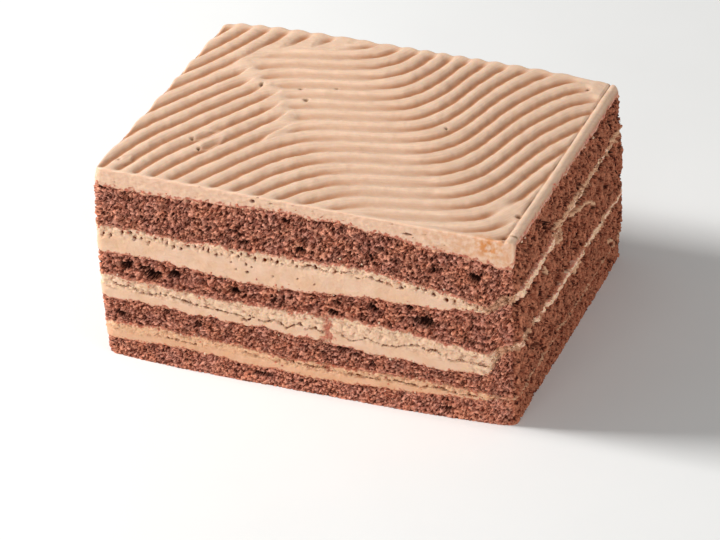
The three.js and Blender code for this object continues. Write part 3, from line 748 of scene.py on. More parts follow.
def geometry_tree(name, sizes):
    """A new geometry tree with named number inputs and a finish: how to add to it, and what it is given."""
    tree = bpy.data.node_groups.new(name, "GeometryNodeTree")
    tree.interface.new_socket("Geometry", in_out="INPUT", socket_type="NodeSocketGeometry")
    for key, default in sizes.items():
        tree.interface.new_socket(key, in_out="INPUT", socket_type="NodeSocketFloat").default_value = default
    tree.interface.new_socket("Finish", in_out="INPUT", socket_type="NodeSocketMaterial")
    tree.interface.new_socket("Geometry", in_out="OUTPUT", socket_type="NodeSocketGeometry")
    return partial(node, tree), tree.nodes.new("NodeGroupInput").outputs


def end_tree(add, given, geometry, **kept):
    """Ends a tree: keeps the values that the finish reads, makes all real and gives it its finish."""
    for key, value in kept.items():
        geometry = add("store", geometry, key, value)
    finished = add("material", add("realize", geometry), given["Finish"])
    return add("result", finished).id_data


def run_tree(name, mesh, tree, values):
    """Runs a tree on a mesh and returns the result as a plain object of that name."""
    carrier = bpy.data.objects.new(name + "_base", mesh)
    bpy.context.scene.collection.objects.link(carrier)
    modifier = carrier.modifiers.new(tree.name, "NODES")
    modifier.node_group = tree
    for item in tree.interface.items_tree:
        if item.in_out == "INPUT" and item.name in values:
            modifier[item.identifier] = values[item.name]
    graph = bpy.context.evaluated_depsgraph_get()
    plain = bpy.data.meshes.new_from_object(
        carrier.evaluated_get(graph), preserve_all_data_layers=True, depsgraph=graph
    )
    carrier.modifiers.remove(modifier)
    bpy.data.objects.remove(carrier)
    bpy.data.meshes.remove(mesh)
    plain.name = name
    made = bpy.data.objects.new(name, plain)
    bpy.context.scene.collection.objects.link(made)
    if not plain.polygons:
        raise RuntimeError(name + " came out empty")
    return made


def places_in_mm(add):
    """Positions in millimetres."""
    return add("grow", add("position"), 1 / MM)


def own_places(add, given, way):
    """Positions in millimetres, moved along a way by the piece's seed so that no two pieces match."""
    return add("sum", places_in_mm(add), add("grow", way, given["Seed"]))


def pits_in_cells(add, cells, channel, rarity, widest, edge, most=1.0):
    """Round pits of various widths, one in each of some cells of a pattern: most inside, 0 outside."""
    chance = add("colour parts", cells.outputs["Color"]).outputs[channel]
    reach = add("range", chance, rarity, 1.0, -0.1, widest)
    return add("ease", add("SUBTRACT", reach, cells.outputs["Distance"]), 0.0, edge, 0.0, most)


def push_out(add, given, move, lift=None):
    """Moves the given surface outwards by millimetres, and also by a lift in metres."""
    offset = add("grow", add("named vector", "outward"), add("MULTIPLY", move, MM))
    return add("shift", given["Geometry"], offset if lift is None else add("sum", offset, lift))


def open_crumb_tree():
    """Cut sponge: clumps with open pores between, some larger bubbles, and the named air holes."""
    sizes = {"Grain": 1.0, "Relief": 0.3, "Bubble Depth": 0.8, "Openness": 0.6, "Hole Depth": 1.7}
    add, given = geometry_tree("open crumb", {**sizes, "Seed": 0.0})
    trimmed, inside, hollow, smear = (add("named", key) for key in ("trimmed", "inside", "hollow", "smear"))
    spot = own_places(add, given, (17.3, 9.1, 5.7))
    twist = add("noise", spot, 0.8, 2.0).outputs["Color"]
    place = add("sum", spot, add("product and sum", twist, (1.9, 1.9, 1.9), (-0.95, -0.95, -0.95)))
    per_mm = add("DIVIDE", 1.0, given["Grain"])
    # Clumps and the gaps between them; on the trimmed face the knife has drawn them out upwards.
    drawn_place = add("product", place, (0.85, 0.85, 0.4))
    clumps, drawn = (add("noise", at, per_mm, 2.5, 0.62) for at in (place, drawn_place))
    clumps = add("ADD", add("mix", trimmed, clumps, drawn), -0.5)
    bar = add("MULTIPLY_ADD", given["Openness"], -0.25, 0.11)
    gaps = add("ease", add("ADD", clumps, bar), -0.02, -0.12)
    # Small round bubbles with thin walls.
    opened = add("ease", add("colour parts", add("cells", place, per_mm).outputs["Color"]), 0.55, 0.8)
    bowl = add("ease", add("walls", place, per_mm), 0.06, 0.28)
    pit = add("MAXIMUM", add("MULTIPLY", bowl, opened), gaps)
    # Larger bubbles: a few cells of a wider pattern hold one, of its own radius.
    bubble = pits_in_cells(add, add("cells", place, 0.36), 1, 0.55, 0.36, 0.14)
    # The named air holes, with ragged rims.
    rough = add("noise", spot, 1.0, 3.0)
    rim = add("MULTIPLY_ADD", rough, 2.8, -0.1)
    hole = add("ease", add("SUBTRACT", rim, hollow), -0.05, 0.4)
    # Slow swells in the cut face, and tears along the trimmed one.
    swell = add("MULTIPLY_ADD", add("noise", spot, 0.25, 2.0), 1.2, -0.75)
    coarse = add("MULTIPLY_ADD", add("noise", drawn_place, 0.3, 2.0), 6.5, -3.2)
    swell = add("MULTIPLY_ADD", add("MINIMUM", coarse, 0.0), trimmed, swell)
    raised = add("MULTIPLY_ADD", add("MULTIPLY", clumps, given["Relief"]), 3.4, swell)
    # Cream smeared on by the knife, and along the joints.
    smeared = add("SUBTRACT", smear, add("MULTIPLY_ADD", rough, 2.4, -1.2))
    smeared = add("ease", smeared, 0.75, 0.4)
    bare = add("SUBTRACT", 1.0, smeared)
    joint = add("ease", add("MULTIPLY_ADD", rough, -2.6, inside), -0.95, -1.35, 0.0, 0.7)
    sunk = add("ADD", bubble, add("MULTIPLY", pit, given["Bubble Depth"]))
    sunk = add("MAXIMUM", sunk, add("MULTIPLY", hole, given["Hole Depth"]))
    move = add("SUBTRACT", raised, add("MULTIPLY", sunk, bare))
    move = add("MULTIPLY_ADD", smeared, 0.45, move)
    # Painted shade: the bubbles, holes and pores are marked to be coloured dark in the finish.
    dark = add("MAXIMUM", add("MAXIMUM", bubble, hole), pit)
    pore, creamy = add("MULTIPLY", dark, bare), add("MAXIMUM", smeared, joint)
    return end_tree(add, given, push_out(add, given, move), pore=pore, grit=clumps, creamy=creamy)


def cut_cream_tree():
    """Cut whipped cream: low waves, lumps in its crumbly part, pits, cracks and breaks."""
    sizes = {"Lump Size": 1.7, "Lump Relief": 0.45, "Pit Depth": 0.8, "Crack Depth": 0.9, "Proud": 0.12}
    add, given = geometry_tree("cut cream", {**sizes, "Seed": 0.0})
    marks = ("lumpy", "hollow", "crack", "broken", "inside")
    lumpy, hollow, crack, broken, inside = (add("named", key) for key in marks)
    spot = own_places(add, given, (11.9, 7.3, 3.1))
    swell = add("ADD", add("noise", spot, 0.22, 3.0), -0.5)
    ragged = add("ADD", add("noise", spot, 1.1, 3.0, 0.6), -0.5)
    some = add("noise", spot, 0.55, 2.0)
    # Lumps with gaps between some of them.
    per_mm = add("DIVIDE", 1.0, given["Lump Size"])
    twist = add("noise", spot, 0.7, 1.0).outputs["Color"]
    place = add("product and sum", twist, (2.2, 2.2, 2.2), spot)
    cells = add("cells", place, per_mm)
    seam = add("ease", add("walls", place, per_mm), 0.16, 0.03)
    seam = add("MULTIPLY", seam, add("ease", some, 0.46, 0.6))
    seam = add("MULTIPLY", add("MULTIPLY", seam, lumpy), 0.45)
    dome = add("MULTIPLY_ADD", cells.outputs["Distance"], -1.0, 0.4)
    dome = add("MULTIPLY", add("MULTIPLY", dome, given["Lump Relief"]), lumpy)
    # Small pits among the lumps: some cells hold one.
    small = add("MULTIPLY", pits_in_cells(add, cells, 0, 0.78, 0.3, 0.12), lumpy)
    # Pits, cracks and breaks at their own places.
    rim = add("MULTIPLY_ADD", ragged, 3.2, 1.0)
    pit = add("MAXIMUM", add("ease", add("SUBTRACT", rim, hollow), -0.1, 0.5), small)
    strayed = add("ABSOLUTE", add("MULTIPLY_ADD", ragged, 2.4, crack))
    width = add("range", some, 0.42, 0.62, 0.15, 1.2)
    split = add("MAXIMUM", add("ease", add("DIVIDE", strayed, width), 0.5, 0.15), seam)
    gone = add("ease", add("MULTIPLY_ADD", ragged, 4.2, broken), 1.5, 0.6)
    sunk, cut = add("MULTIPLY", pit, given["Pit Depth"]), add("MULTIPLY", split, given["Crack Depth"])
    deep = add("MAXIMUM", add("MAXIMUM", sunk, cut), add("MULTIPLY", gone, 0.9))
    rough = add("MULTIPLY_ADD", lumpy, 0.9, 0.25)
    high = add("MULTIPLY_ADD", ragged, rough, add("ADD", swell, dome))
    move = add("SUBTRACT", add("ADD", high, given["Proud"]), deep)
    # Sponge crumbs stuck along the joints and here and there among the lumps.
    among = add("MULTIPLY", add("range", some, 0.58, 0.7, 0.0, 0.5), lumpy)
    stuck = add("ease", add("MULTIPLY_ADD", ragged, 3.2, inside), 0.4, 0.0)
    # The pits and cracks are kept as the mark where the finish paints shade.
    stuck, dark = add("MAXIMUM", stuck, among), add("MAXIMUM", pit, split)
    pushed = push_out(add, given, move)
    return end_tree(add, given, pushed, pit=dark, gone=gone, stuck=stuck, grit=ragged)


def comb_tree():
    """The comb's ridges over the top, run down into the raised lip, with dips, folds and pits."""
    add, given = geometry_tree("comb ridges", {"Relief": RIDGE_DEPTH, "Blend": 0.5, "Pit Depth": 0.8})
    in_mm, level, side = places_in_mm(add), add("named", "level_run"), add("named", "cut_side")
    # The teeth shiver a little as they are drawn along.
    shiver = add("MULTIPLY_ADD", add("noise", in_mm, 0.16, 3.0), 0.2, -0.1)
    # Level ridges are low and thin, steep ones tall and round.
    thin = add("MULTIPLY_ADD", level, -0.78, 1.2)
    low = add("MULTIPLY_ADD", level, -0.42, 1.0)
    grooves = []
    for name, shape in (("track", thin), ("pulled", 1.2)):
        phase = add("FRACT", add("ADD", add("named", name), shiver))
        away = add("ABSOLUTE", add("MULTIPLY_ADD", phase, 2.0, -1.0))
        groove = add("ease", add("POWER", away, shape))
        grooves.append(add("MULTIPLY", groove, given["Relief"]))
    # At the rim of another pull its grooves are filled from their floors, so each ends in a tip.
    other = add("MAXIMUM", add("SUBTRACT", grooves[1], add("named", "filled")), 0.0)
    depth = add("mix", add("named", "pull_share"), add("MULTIPLY", grooves[0], low), other)
    depth = add("ADD", add("MULTIPLY", depth, add("named", "comb_fade")), add("named", "under_lip"))
    top = add("SMOOTH_MAX", add("MULTIPLY", depth, -1.0), add("named", "lip"), given["Blend"])
    top = add("ADD", top, add("ease", add("named", "fold"), 0.8, 0.1, 0.0, 0.28))
    rise = add("MULTIPLY", add("MULTIPLY", top, add("named", "comb_share")), MM)
    pit = add("ease", add("SUBTRACT", 1.0, add("named", "hollow")), -0.2, 0.5)
    swell = add("MULTIPLY_ADD", add("noise", in_mm, 0.3, 3.0), 0.5, -0.25)
    grain = add("MULTIPLY_ADD", add("noise", in_mm, 1.1, 2.0), 0.6, -0.3)
    swell = add("ADD", swell, add("MULTIPLY", grain, side))
    # Small open pits in the cut cream, and crumbs stuck along its lower edge.
    speck = pits_in_cells(add, add("cells", in_mm, 0.75), 0, 0.72, 0.3, 0.14, 0.7)
    pit = add("MAXIMUM", pit, add("MULTIPLY", speck, side))
    rough = add("noise", in_mm, 0.9, 3.0, 0.6)
    stuck = add("ADD", add("named", "inside"), add("MULTIPLY_ADD", rough, -6.0, 3.0))
    stuck = add("ease", stuck, 0.9, 0.3)
    move = add("SUBTRACT", swell, add("MULTIPLY", pit, given["Pit Depth"]))
    pushed = push_out(add, given, move, add("vector", 0.0, 0.0, rise))
    # How far down in its groove a place lies, for the finish to paint shade there.
    deep = add("MULTIPLY", add("DIVIDE", top, given["Relief"]), -1.0)
    return end_tree(add, given, pushed, pit=pit, groove=deep, stuck=stuck, grit=rough)


def crumb_tree():
    """Loose crumbs: an uneven pebble on every given point, turned and sized by its own number."""
    add, given = geometry_tree("crumbs", {"Size": 1.0})
    dents = add("MULTIPLY_ADD", add("noise", places_in_mm(add), 2.1, 2.0), 1.6, 0.2)
    pebble = add("reshape", add("ball", 0.5 * MM, 2), add("grow", add("position"), dents))
    turn = add("random", (0.0, 0.0, 0.0), (6.28, 6.28, 6.28), 3)
    size = add("MULTIPLY", add("named", "width"), given["Size"])
    return end_tree(add, given, add("scatter", given["Geometry"], pebble, turn, size))


# ---------------------------------------------------------------- finishes


def new_finish(name):
    """A new material, how to add to its tree, its shader node and its object coordinates."""
    material = bpy.data.materials.new(name)
    material.use_nodes = True
    add = partial(node, material.node_tree)
    place = add("coordinates").outputs["Object"]
    return material, add, material.node_tree.nodes["Principled BSDF"], place


def on_mesh(add, *names):
    """The values of these names that the mesh carries."""
    return [add("attribute", attribute_name=name).outputs["Fac"] for name in names]


def laid_over(add, body, layers):
    """Colours laid over the body one by one, each by its own amount."""
    for amount, colour in layers:
        body = add("blend", amount, body, colour)
    return body


def softness(weight, depth):
    """How much light enters the cream, and how deep it goes in millimetres, red the deepest."""
    reach = {"Subsurface Radius": (1.0, 0.45, 0.2), "Subsurface Scale": depth * MM}
    return {"Subsurface Weight": weight, **reach}


def sponge_finish(colours):
    """Baked cocoa sponge, cut with a knife: dry matte crumb, with painted shade inside its pores and a
    painted highlight on its raised crumb.
    """
    material, add, shader, place = new_finish("baked cocoa sponge, cut")
    pore, grit, creamy, trimmed = on_mesh(add, "pore", "grit", "creamy", "trimmed")
    # Painted highlight: the raised crumb is coloured lighter than the crumb between, more strongly on the
    # trimmed face.
    keen = add("MULTIPLY_ADD", trimmed, 0.9, 1.35)
    highlight_share = add("range", add("MULTIPLY", grit, keen), -0.09, 0.17)
    body = add("blend", highlight_share, colours.crumb_mid, colours.crumb_light_and_highlight)
    warm = add("range", add("noise", place, 160.0, 2.0), 0.35, 0.65)
    tinge = add("blend", warm, (0.93, 0.92, 0.98), (1.08, 1.0, 0.9))
    # Crumb specks 0.8 mm across, the finest that still show.
    speck = add("range", add("noise", place, 1250.0, 2.0), 0.3, 0.7, 0.62, 1.3)
    # The whole trimmed face is tinted darker.
    for factor in (add("blend", trimmed, tinge, colours.trimmed_face_tint), speck):
        body = add("tint", 1.0, body, factor)
    # Painted shade inside the pores, then the cream smeared over the crumb.
    body = laid_over(add, body, ((pore, colours.pore), (creamy, colours.smear)))
    bump = add("bump", 0.9, 0.45 * MM, add("noise", place, 1500.0, 2.0))
    fill(shader, {"Base Color": body, "Normal": bump, "Roughness": 0.92, "Specular IOR Level": 0.2})
    return material


def filling_finish(colours, crumbs):
    """Whipped chocolate cream, cut with a knife: soft and dull, with painted shade in its pits, its cracks
    and the hollows between its lumps.
    """
    material, add, shader, place = new_finish("whipped chocolate cream, cut")
    pit, gone, stuck, lumpy, grit = on_mesh(add, "pit", "gone", "stuck", "lumpy", "grit")
    patches = add("range", add("noise", place, 220.0, 3.0), 0.35, 0.65)
    body = add("blend", patches, colours.cream_warm, colours.cream_pale)
    airy = add("MULTIPLY", lumpy, 0.8)
    # Painted shade: the low places among the lumps are coloured darker.
    hollow_shade = add("MULTIPLY", add("range", grit, 0.0, -0.2, 0.0, 0.5), lumpy)
    crumb = add("blend", add("range", grit, -0.15, 0.15), crumbs.crumb_mid, crumbs.crumb_light_and_highlight)
    layers = ((airy, colours.cream_airy), (hollow_shade, colours.fleck_and_hollow_shade), (stuck, crumb), (gone, crumb))
    # Painted shade inside the pits and cracks.
    body = laid_over(add, body, (*layers, (pit, colours.pit_shade)))
    # The lowest cream has drunk some syrup and is browner.
    soaked = add("range", add("vector parts", place).outputs["Z"], 16 * MM, 12 * MM)
    body = add("tint", soaked, body, (0.93, 0.81, 0.71))
    bump = add("bump", 0.5, 0.2 * MM, add("noise", place, 1300.0, 2.0))
    gloss = add("range", pit, 0.0, 0.6, 0.3, 0.0)
    fill(shader, {"Base Color": body, "Normal": bump, "Roughness": 0.6, "Specular IOR Level": gloss})
    fill(shader, softness(0.25, 0.8))
    return material


def combed_finish(colours, crumbs):
    """Whipped chocolate cream, combed and set: smooth satin ridges, fine drag lines, and painted shade in
    its grooves, dips and pits.
    """
    material, add, shader, place = new_finish("whipped chocolate cream, combed")
    pit, groove, side, amber = on_mesh(add, "pit", "groove", "cut_side", "amber")
    track, drag, stuck, grit = on_mesh(add, "track", "drag", "stuck", "grit")
    patches = add("range", add("noise", place, 90.0, 3.0), 0.35, 0.65)
    top = add("blend", patches, colours.comb_warm, colours.comb_pale)
    # Drag lines about 0.6 mm apart across the ridges and long along them.
    line_place = add("vector", add("MULTIPLY", track, 12.0), add("MULTIPLY", drag, 0.12))
    lines = add("noise", line_place, 1.0, 2.0)
    top = add("tint", 1.0, top, add("range", lines, 0.3, 0.7, 0.93, 1.05))
    body = add("blend", side, top, colours.cream_pale)
    # Painted shade: the deeper a place lies in its groove, the darker it is coloured.
    deep = add("MULTIPLY", add("range", groove, 0.35, 1.0), add("SUBTRACT", 1.0, side))
    # Browned in uneven flecks, and the cut wall mottled where it is more open.
    torn = add("range", add("noise", place, 520.0, 3.0), 0.38, 0.6)
    mottled = add("MULTIPLY", add("MULTIPLY", torn, side), 0.16)
    browned = add("MULTIPLY", amber, torn)
    crumb = add("blend", add("range", grit, 0.4, 0.6), crumbs.crumb_light_and_highlight, crumbs.crumb_mid)
    # Painted shade inside the dips of the top and the pits of its cut wall.
    hole = add("blend", side, colours.dip_shade, colours.pit_shade)
    layers = ((deep, colours.groove_shade), (mottled, colours.fleck_and_hollow_shade), (browned, colours.amber))
    body = laid_over(add, body, (*layers, (stuck, crumb), (pit, hole)))
    fine = add("noise", place, 1200.0, 2.0)
    bump = add("bump", 0.35, 0.15 * MM, add("MULTIPLY_ADD", lines, 0.5, fine))
    fill(shader, {"Base Color": body, "Normal": bump, "Roughness": 0.5, "Specular IOR Level": 0.3})
    fill(shader, softness(0.2, 1.2))
    return material


def floor_finish(colour):
    """Matt white paper: a pale, even ground with the faintest mottling."""
    material, add, shader, place = new_finish("matt white paper")
    body = add("blend", add("noise", place, 30.0, 2.0), colour, [0.97 * channel for channel in colour])
    fill(shader, {"Base Color": body, "Roughness": 0.9})
    return material


def finish_piece(piece, cad_node):
    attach(piece, "root")
    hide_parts(cad_node)


# ---------------------------------------------------------------- sizes and colours


def length_setting(name, description, millimetres):
    words = {"name": name, "description": description, "unit": "LENGTH", "subtype": "DISTANCE"}
    return bpy.props.FloatProperty(default=millimetres * MM, min=0.0, **words)


def colour_setting(name, description, hex_colour):
    words = {"name": name, "description": description, "subtype": "COLOR"}
    return bpy.props.FloatVectorProperty(default=linear(hex_colour), size=3, min=0, max=1, **words)


def power_setting(name, description, watts):
    return bpy.props.FloatProperty(name=name, description=description, default=watts, unit="POWER")


class CakeSpongeSettings(bpy.types.PropertyGroup):
    """Sizes and colours of the cocoa sponges."""

    grain: length_setting("Crumb grain", "Width of the fine bubbles", 1.0)
    relief: length_setting("Crumb relief", "Unevenness of the cut crumb", 0.7)
    bubble_depth: length_setting("Bubble depth", "Depth of the fine bubbles", 1.1)
    hole_depth: length_setting("Hole depth", "Depth of the large air holes", 3.0)
    # Painted highlight on the raised crumb; also the lighter tone of the crumbs stuck to the cream.
    crumb_light_and_highlight: colour_setting("Light crumb", "Raised crumb", "#E9A78C")
    crumb_mid: colour_setting("Middle crumb", "Crumb between the bubbles", "#BC6850")
    # Painted shade inside the bubbles and holes.
    pore: colour_setting("Pore", "Inside of the bubbles", "#2C0D06")
    trimmed_face_tint: colour_setting("Moist crumb", "Darkening of the smeared crumb on the trimmed face", "#CBB5A4")
    smear: colour_setting("Smear", "Cream smeared over the crumb", "#E0B08C")


class CakeCreamSettings(bpy.types.PropertyGroup):
    """Sizes and colours of the creams."""

    lump_size: length_setting("Lump size", "Width of the lumps in the fillings", 2.3)
    lump_relief: length_setting("Lump relief", "Height of the lumps", 0.9)
    pit_depth: length_setting("Pit depth", "Depth of the pits", 0.8)
    crack_depth: length_setting("Crack depth", "Depth of the cracks", 0.9)
    ridge_relief: length_setting("Ridge relief", "Depth of the comb's grooves", RIDGE_DEPTH)
    cream_pale: colour_setting("Pale cream", "Cut cream", "#EDC6A9")
    cream_warm: colour_setting("Warm cream", "Cut cream, warmer patches", "#E8BC9A")
    cream_airy: colour_setting("Airy cream", "The lumpy part of a filling", "#F8D3B2")
    # Painted shade in the hollows between the lumps; also the flecks on the cut wall of the top.
    fleck_and_hollow_shade: colour_setting("Cream fleck", "Hollows between the lumps", "#C27640")
    # Painted shade inside the pits and cracks.
    pit_shade: colour_setting("Cream pit", "Inside of pits and cracks", "#6A2409")
    comb_pale: colour_setting("Pale combed cream", "Ridges", "#ECC9AD")
    comb_warm: colour_setting("Warm combed cream", "Ridges, warmer patches", "#E3BFA3")
    # Painted shade at the bottom of the comb's grooves.
    groove_shade: colour_setting("Groove", "Bottom of the comb's grooves", "#B37852")
    # Painted shade inside the dips in the combed top.
    dip_shade: colour_setting("Dip", "Inside of the dips in the combed top", "#966F50")
    amber: colour_setting("Amber", "Browned cream at the trimmed corner", "#D98A45")


class CakeStageSettings(bpy.types.PropertyGroup):
    """Floor and light."""

    floor: colour_setting("Floor", "Colour of the floor", "#F2F2F0")
    key: power_setting("Key light", "Light from the left", 13.6)
    front: power_setting("Front light", "Light from the front", 3.4)
    side: power_setting("Side light", "Light from the right", 5.6)
    sky: bpy.props.FloatProperty(name="Surroundings", description="Light from all round", default=0.24)


# ---------------------------------------------------------------- operators

# Layer number, node, grain, relief, bubble depth and openness of each sponge, against the settings.
SPONGES = (
    (0, "sponge_1", 0.85, 0.85, 0.8, 0.5),
    (2, "sponge_2", 0.95, 1.0, 1.0, 0.55),
    (4, "sponge_3", 1.25, 1.3, 1.2, 0.55),
    (6, "sponge_4", 1.0, 1.0, 1.0, 0.6),
)
CRUMBS_PER_JOINT, FLECKS_PER_JOINT = 80, 14
# Layer number, node, and the level above which the cream is lumpy.
FILLINGS = ((1, "filling_1", 0.45), (3, "filling_2", 0.42), (5, "filling_3", 0.72))


def joint_runs(ring, edges, shown, boundary, sponge):
    """How far a layer's side runs past a boundary."""
    if boundary >= 6:
        return np.full(ring.x.size, LAP)
    filling = boundary // 2
    half = (edges[2 * filling + 1] - edges[2 * filling]) / 2
    if sponge:
        return mix(half + 0.3, LAP, shown[filling])
    return mix(LAP, 0.12, smooth(ring.x, PINCH_START, PINCH_END))


class CAKE_OT_sponges(bpy.types.Operator):
    """Make the four cocoa sponges"""

    bl_idname = "cake.sponges"
    bl_label = "Cocoa sponges"

    def execute(self, context):
        settings = context.scene.cake_sponge
        finish = sponge_finish(settings)
        tree = open_crumb_tree()
        ring = even_ring(SIDE_STEP)
        edges, (shown, _) = boundary_edges(ring), cream_shown(ring)
        for number, name, grain, relief, depth, openness in SPONGES:
            lower = edges[number - 1] if number else np.zeros(ring.x.size)
            upper = edges[number]
            over_low = joint_runs(ring, edges, shown, number - 1, True) if number else 0 * lower
            over_high = joint_runs(ring, edges, shown, number, True)
            marks = (
                ("hollow", LONG_FACE_HOLES.get(name, ()), SHORT_FACE_HOLES.get(name, ()), nearest_mark),
                ("smear", (), SHORT_FACE_SMEARS.get(name, ()), nearest_line),
            )
            mesh = layer_mesh(name, ring, lower, upper, (over_low, over_high), 0.7, 0.0, SIDE_STEP, marks)
            sizes = {
                "Grain": settings.grain / MM * grain,
                "Relief": settings.relief / MM * relief,
                "Bubble Depth": settings.bubble_depth / MM * depth,
                "Openness": openness,
                "Hole Depth": settings.hole_depth / MM,
                "Seed": float(number + 1),
                "Finish": finish,
            }
            piece = run_tree("cocoa_" + name, mesh, tree, sizes)
            finish_piece(piece, name)
        return {"FINISHED"}


class CAKE_OT_fillings(bpy.types.Operator):
    """Make the three cream fillings"""

    bl_idname = "cake.fillings"
    bl_label = "Cream fillings"

    def execute(self, context):
        settings = context.scene.cake_cream
        finish = filling_finish(settings, context.scene.cake_sponge)
        tree = cut_cream_tree()
        ring = even_ring(SIDE_STEP)
        edges, (shown, sunk) = boundary_edges(ring), cream_shown(ring)
        for number, name, lumpy_from in FILLINGS:
            lower, upper = edges[number - 1], edges[number]
            over = joint_runs(ring, edges, shown, number, False)
            hidden = sunk[number // 2]
            marks = (
                ("hollow", CREAM_PITS[name], (), nearest_mark),
                ("crack", CREAM_CRACKS[name], (), nearest_line),
                ("broken", CREAM_BREAKS.get(name, ()), (), nearest_line),
            )
            mesh = layer_mesh(name, ring, lower, upper, (over, over), 0.6, hidden, SIDE_STEP, marks)
            level, places = np.zeros(len(mesh.vertices)), np.zeros(3 * len(mesh.vertices))
            mesh.attributes["level"].data.foreach_get("value", level)
            mesh.vertices.foreach_get("co", places)
            end = CREAM_ENDS[number // 2]
            near_end = smooth(places[::3] / MM, end - 9, end - 3)
            loose = np.maximum(smooth(level, lumpy_from - 0.15, lumpy_from + 0.15), near_end)
            lumpy = mesh.attributes.new("lumpy", "FLOAT", "POINT")
            lumpy.data.foreach_set("value", loose.astype(np.float32))
            sizes = {
                "Lump Size": settings.lump_size / MM,
                "Lump Relief": settings.lump_relief / MM,
                "Pit Depth": settings.pit_depth / MM,
                "Crack Depth": settings.crack_depth / MM,
                "Seed": float(number + 3),
                "Finish": finish,
            }
            piece = run_tree("cream_" + name, mesh, tree, sizes)
            finish_piece(piece, name)
        return {"FINISHED"}


class CAKE_OT_combed_top(bpy.types.Operator):
    """Make the combed cream top with its lip"""

    bl_idname = "cake.combed_top"
    bl_label = "Combed cream top"

    def execute(self, context):
        settings = context.scene.cake_cream
        finish = combed_finish(settings, context.scene.cake_sponge)
        sizes = {"Relief": settings.ridge_relief / MM, "Finish": finish}
        piece = run_tree("combed_top", combed_top_mesh(), comb_tree(), sizes)
        finish_piece(piece, "combed_cream_top")
        return {"FINISHED"}


class CAKE_OT_crumbs(bpy.types.Operator):
    """Scatter crumbs of sponge on the creams and flecks of cream on the sponges"""

    bl_idname = "cake.crumbs"
    bl_label = "Loose crumbs"

    def execute(self, context):
        scene = context.scene
        tree = crumb_tree()
        rng = np.random.default_rng(7)
        ring = even_ring(0.25)
        edges, (shown, _) = boundary_edges(ring), cream_shown(ring)
        crumbs, flecks = [], []
        for index, edge in enumerate(edges):
            side = 1 if index % 2 == 0 else -1
            scattered = ((crumbs, CRUMBS_PER_JOINT, side), (flecks, FLECKS_PER_JOINT, -side))
            for made, count, direction in scattered:
                pick = rng.integers(0, ring.x.size, count)
                away = direction * rng.exponential(0.7, count) + rng.normal(0, 0.15, count)
                width = 0.6 * rng.uniform(0.3, 1.0, count) ** 1.5 + 0.25
                seen = np.ones(count, bool) if index == 6 else shown[index // 2][pick] > 0.6
                z = edge[pick] + away
                keep = seen & (z > 0.6) & (np.abs(away) < 2.6)
                place = describe_ring(ring.x[pick][keep], ring.y[pick][keep])
                made.append((side_places(place, z[keep]), width[keep]))
        crumb, cream = sponge_finish(scene.cake_sponge), combed_finish(scene.cake_cream, scene.cake_sponge)
        kinds = (
            ("cocoa_crumbs", "cocoa_sponge", crumbs, crumb),
            ("cream_flecks", "chocolate_cream", flecks, cream),
        )
        for name, slot, made, finish in kinds:
            points, widths = (np.concatenate(each) for each in zip(*made))
            mesh = mesh_of(name, points, [], {"width": widths})
            piece = run_tree(name, mesh, tree, {"Size": 1.0, "Finish": finish})
            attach(piece, "root")
        return {"FINISHED"}


# The setting with each light's power, its direction in degrees, its distance and its size.
LIGHTS = (("key", 190, 41, 1.1, 0.3), ("front", 268, 14, 1.3, 0.7), ("side", 345, 16, 1.3, 0.7))
LIGHT_AIM, FLOOR_REACH = Vector((0, 0, 0.04)), 3.0
CAMERA_AZIMUTH, CAMERA_ELEVATION, CAMERA_ROLL = 0.37684, 0.55380, -0.033957
CAMERA_PLACE, CAMERA_LENS, SENSOR_WIDTH = (0.374456, -0.953038, 0.645579), 179.9, 36.0


def add_area_light(name, azimuth, elevation, distance, size, power):
    """A square soft light that looks at the cake from a direction given in degrees."""
    light = bpy.data.lights.new(name, "AREA")
    light.shape, light.size, light.energy = "SQUARE", size, power
    lamp = bpy.data.objects.new(name, light)
    a, e = math.radians(azimuth), math.radians(elevation)
    way = Vector((math.cos(a) * math.cos(e), math.sin(a) * math.cos(e), math.sin(e)))
    turn = way.to_track_quat("Z", "Y").to_matrix().to_4x4()
    lamp.matrix_world = Matrix.Translation(LIGHT_AIM + way * distance) @ turn
    bpy.context.scene.collection.objects.link(lamp)


class CAKE_OT_stage(bpy.types.Operator):
    """Make the floor, the lights and the camera"""

    bl_idname = "cake.stage"
    bl_label = "Stage"

    def execute(self, context):
        settings = context.scene.cake_stage
        corners = [(FLOOR_REACH * x, FLOOR_REACH * y, 0) for x, y in ((-1, -1), (1, -1), (1, 1), (-1, 1))]
        mesh = bpy.data.meshes.new("floor")
        mesh.from_pydata(corners, [], [(0, 1, 2, 3)])
        mesh.materials.append(floor_finish(tuple(settings.floor)))
        floor = bpy.data.objects.new("floor", mesh)
        context.scene.collection.objects.link(floor)
        for name, *place in LIGHTS:
            add_area_light(name + " light", *place, getattr(settings, name))
        world = bpy.data.worlds.new("surroundings")
        context.scene.world = world
        world.use_nodes = True
        fill(world.node_tree.nodes["Background"], {"Color": (1, 1, 1), "Strength": settings.sky})
        context.scene.view_settings.view_transform = "Standard"
        add_camera(context)
        return {"FINISHED"}


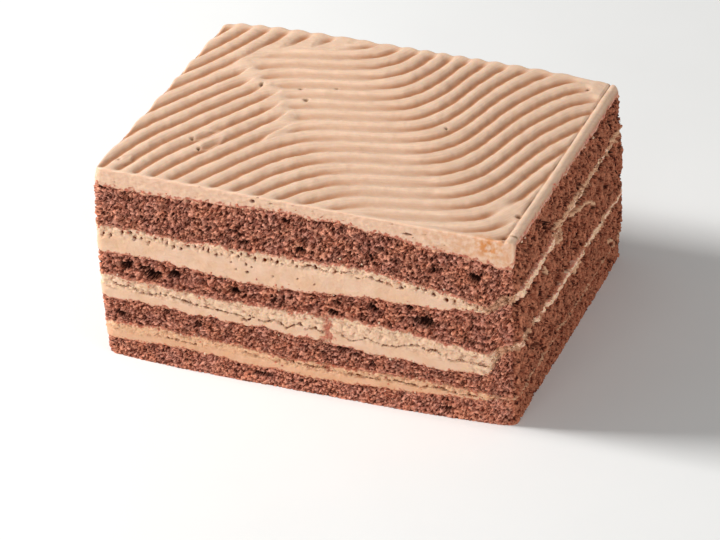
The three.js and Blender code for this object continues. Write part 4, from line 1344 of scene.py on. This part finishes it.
def add_camera(context):
    """A long lens at the height of a seated guest's eye, turned a little to the left face's side."""
    level = math.cos(CAMERA_ELEVATION)
    plan = math.sin(CAMERA_AZIMUTH) * level, -math.cos(CAMERA_AZIMUTH) * level
    back = Vector((*plan, math.sin(CAMERA_ELEVATION)))
    right = Vector((0, 0, 1)).cross(back).normalized()
    up = back.cross(right)
    rolled_right = math.cos(CAMERA_ROLL) * right + math.sin(CAMERA_ROLL) * up
    rolled_up = -math.sin(CAMERA_ROLL) * right + math.cos(CAMERA_ROLL) * up
    turn = Matrix((rolled_right, rolled_up, back)).transposed().to_4x4()
    camera = bpy.data.cameras.new("camera")
    camera.lens, camera.sensor_width = CAMERA_LENS, SENSOR_WIDTH
    holder = bpy.data.objects.new("camera", camera)
    holder.matrix_world = Matrix.Translation(CAMERA_PLACE) @ turn
    context.scene.collection.objects.link(holder)
    context.scene.camera = holder


OPERATORS = (CAKE_OT_sponges, CAKE_OT_fillings, CAKE_OT_combed_top, CAKE_OT_crumbs, CAKE_OT_stage)


class CAKE_PT_cake(bpy.types.Panel):
    """Shows the cake's settings and the buttons that make its pieces"""

    bl_idname = "CAKE_PT_cake"
    bl_label = "Chocolate cream cake"
    bl_space_type = "VIEW_3D"
    bl_region_type = "UI"
    bl_category = "Cake"

    def draw(self, context):
        scene = context.scene
        for settings in (scene.cake_sponge, scene.cake_cream, scene.cake_stage):
            box = self.layout.box()
            for key in settings.bl_rna.properties.keys():
                if key not in {"rna_type", "name"}:
                    box.prop(settings, key)
        for operator in OPERATORS:
            self.layout.operator(operator.bl_idname)


SETTINGS = (
    ("cake_sponge", CakeSpongeSettings),
    ("cake_cream", CakeCreamSettings),
    ("cake_stage", CakeStageSettings),
)
CLASSES = (*(group for _, group in SETTINGS), *OPERATORS, CAKE_PT_cake)


def register():
    for each in CLASSES:
        bpy.utils.register_class(each)
    for key, group in SETTINGS:
        setattr(bpy.types.Scene, key, bpy.props.PointerProperty(type=group))


def unregister():
    for key, _ in SETTINGS:
        delattr(bpy.types.Scene, key)
    for each in reversed(CLASSES):
        bpy.utils.unregister_class(each)


def main():
    register()
    bpy.ops.cake.sponges()
    bpy.ops.cake.fillings()
    bpy.ops.cake.combed_top()
    bpy.ops.cake.crumbs()
    bpy.ops.cake.stage()
    bpy.context.view_layer.update()


if __name__ == "__main__":
    main()
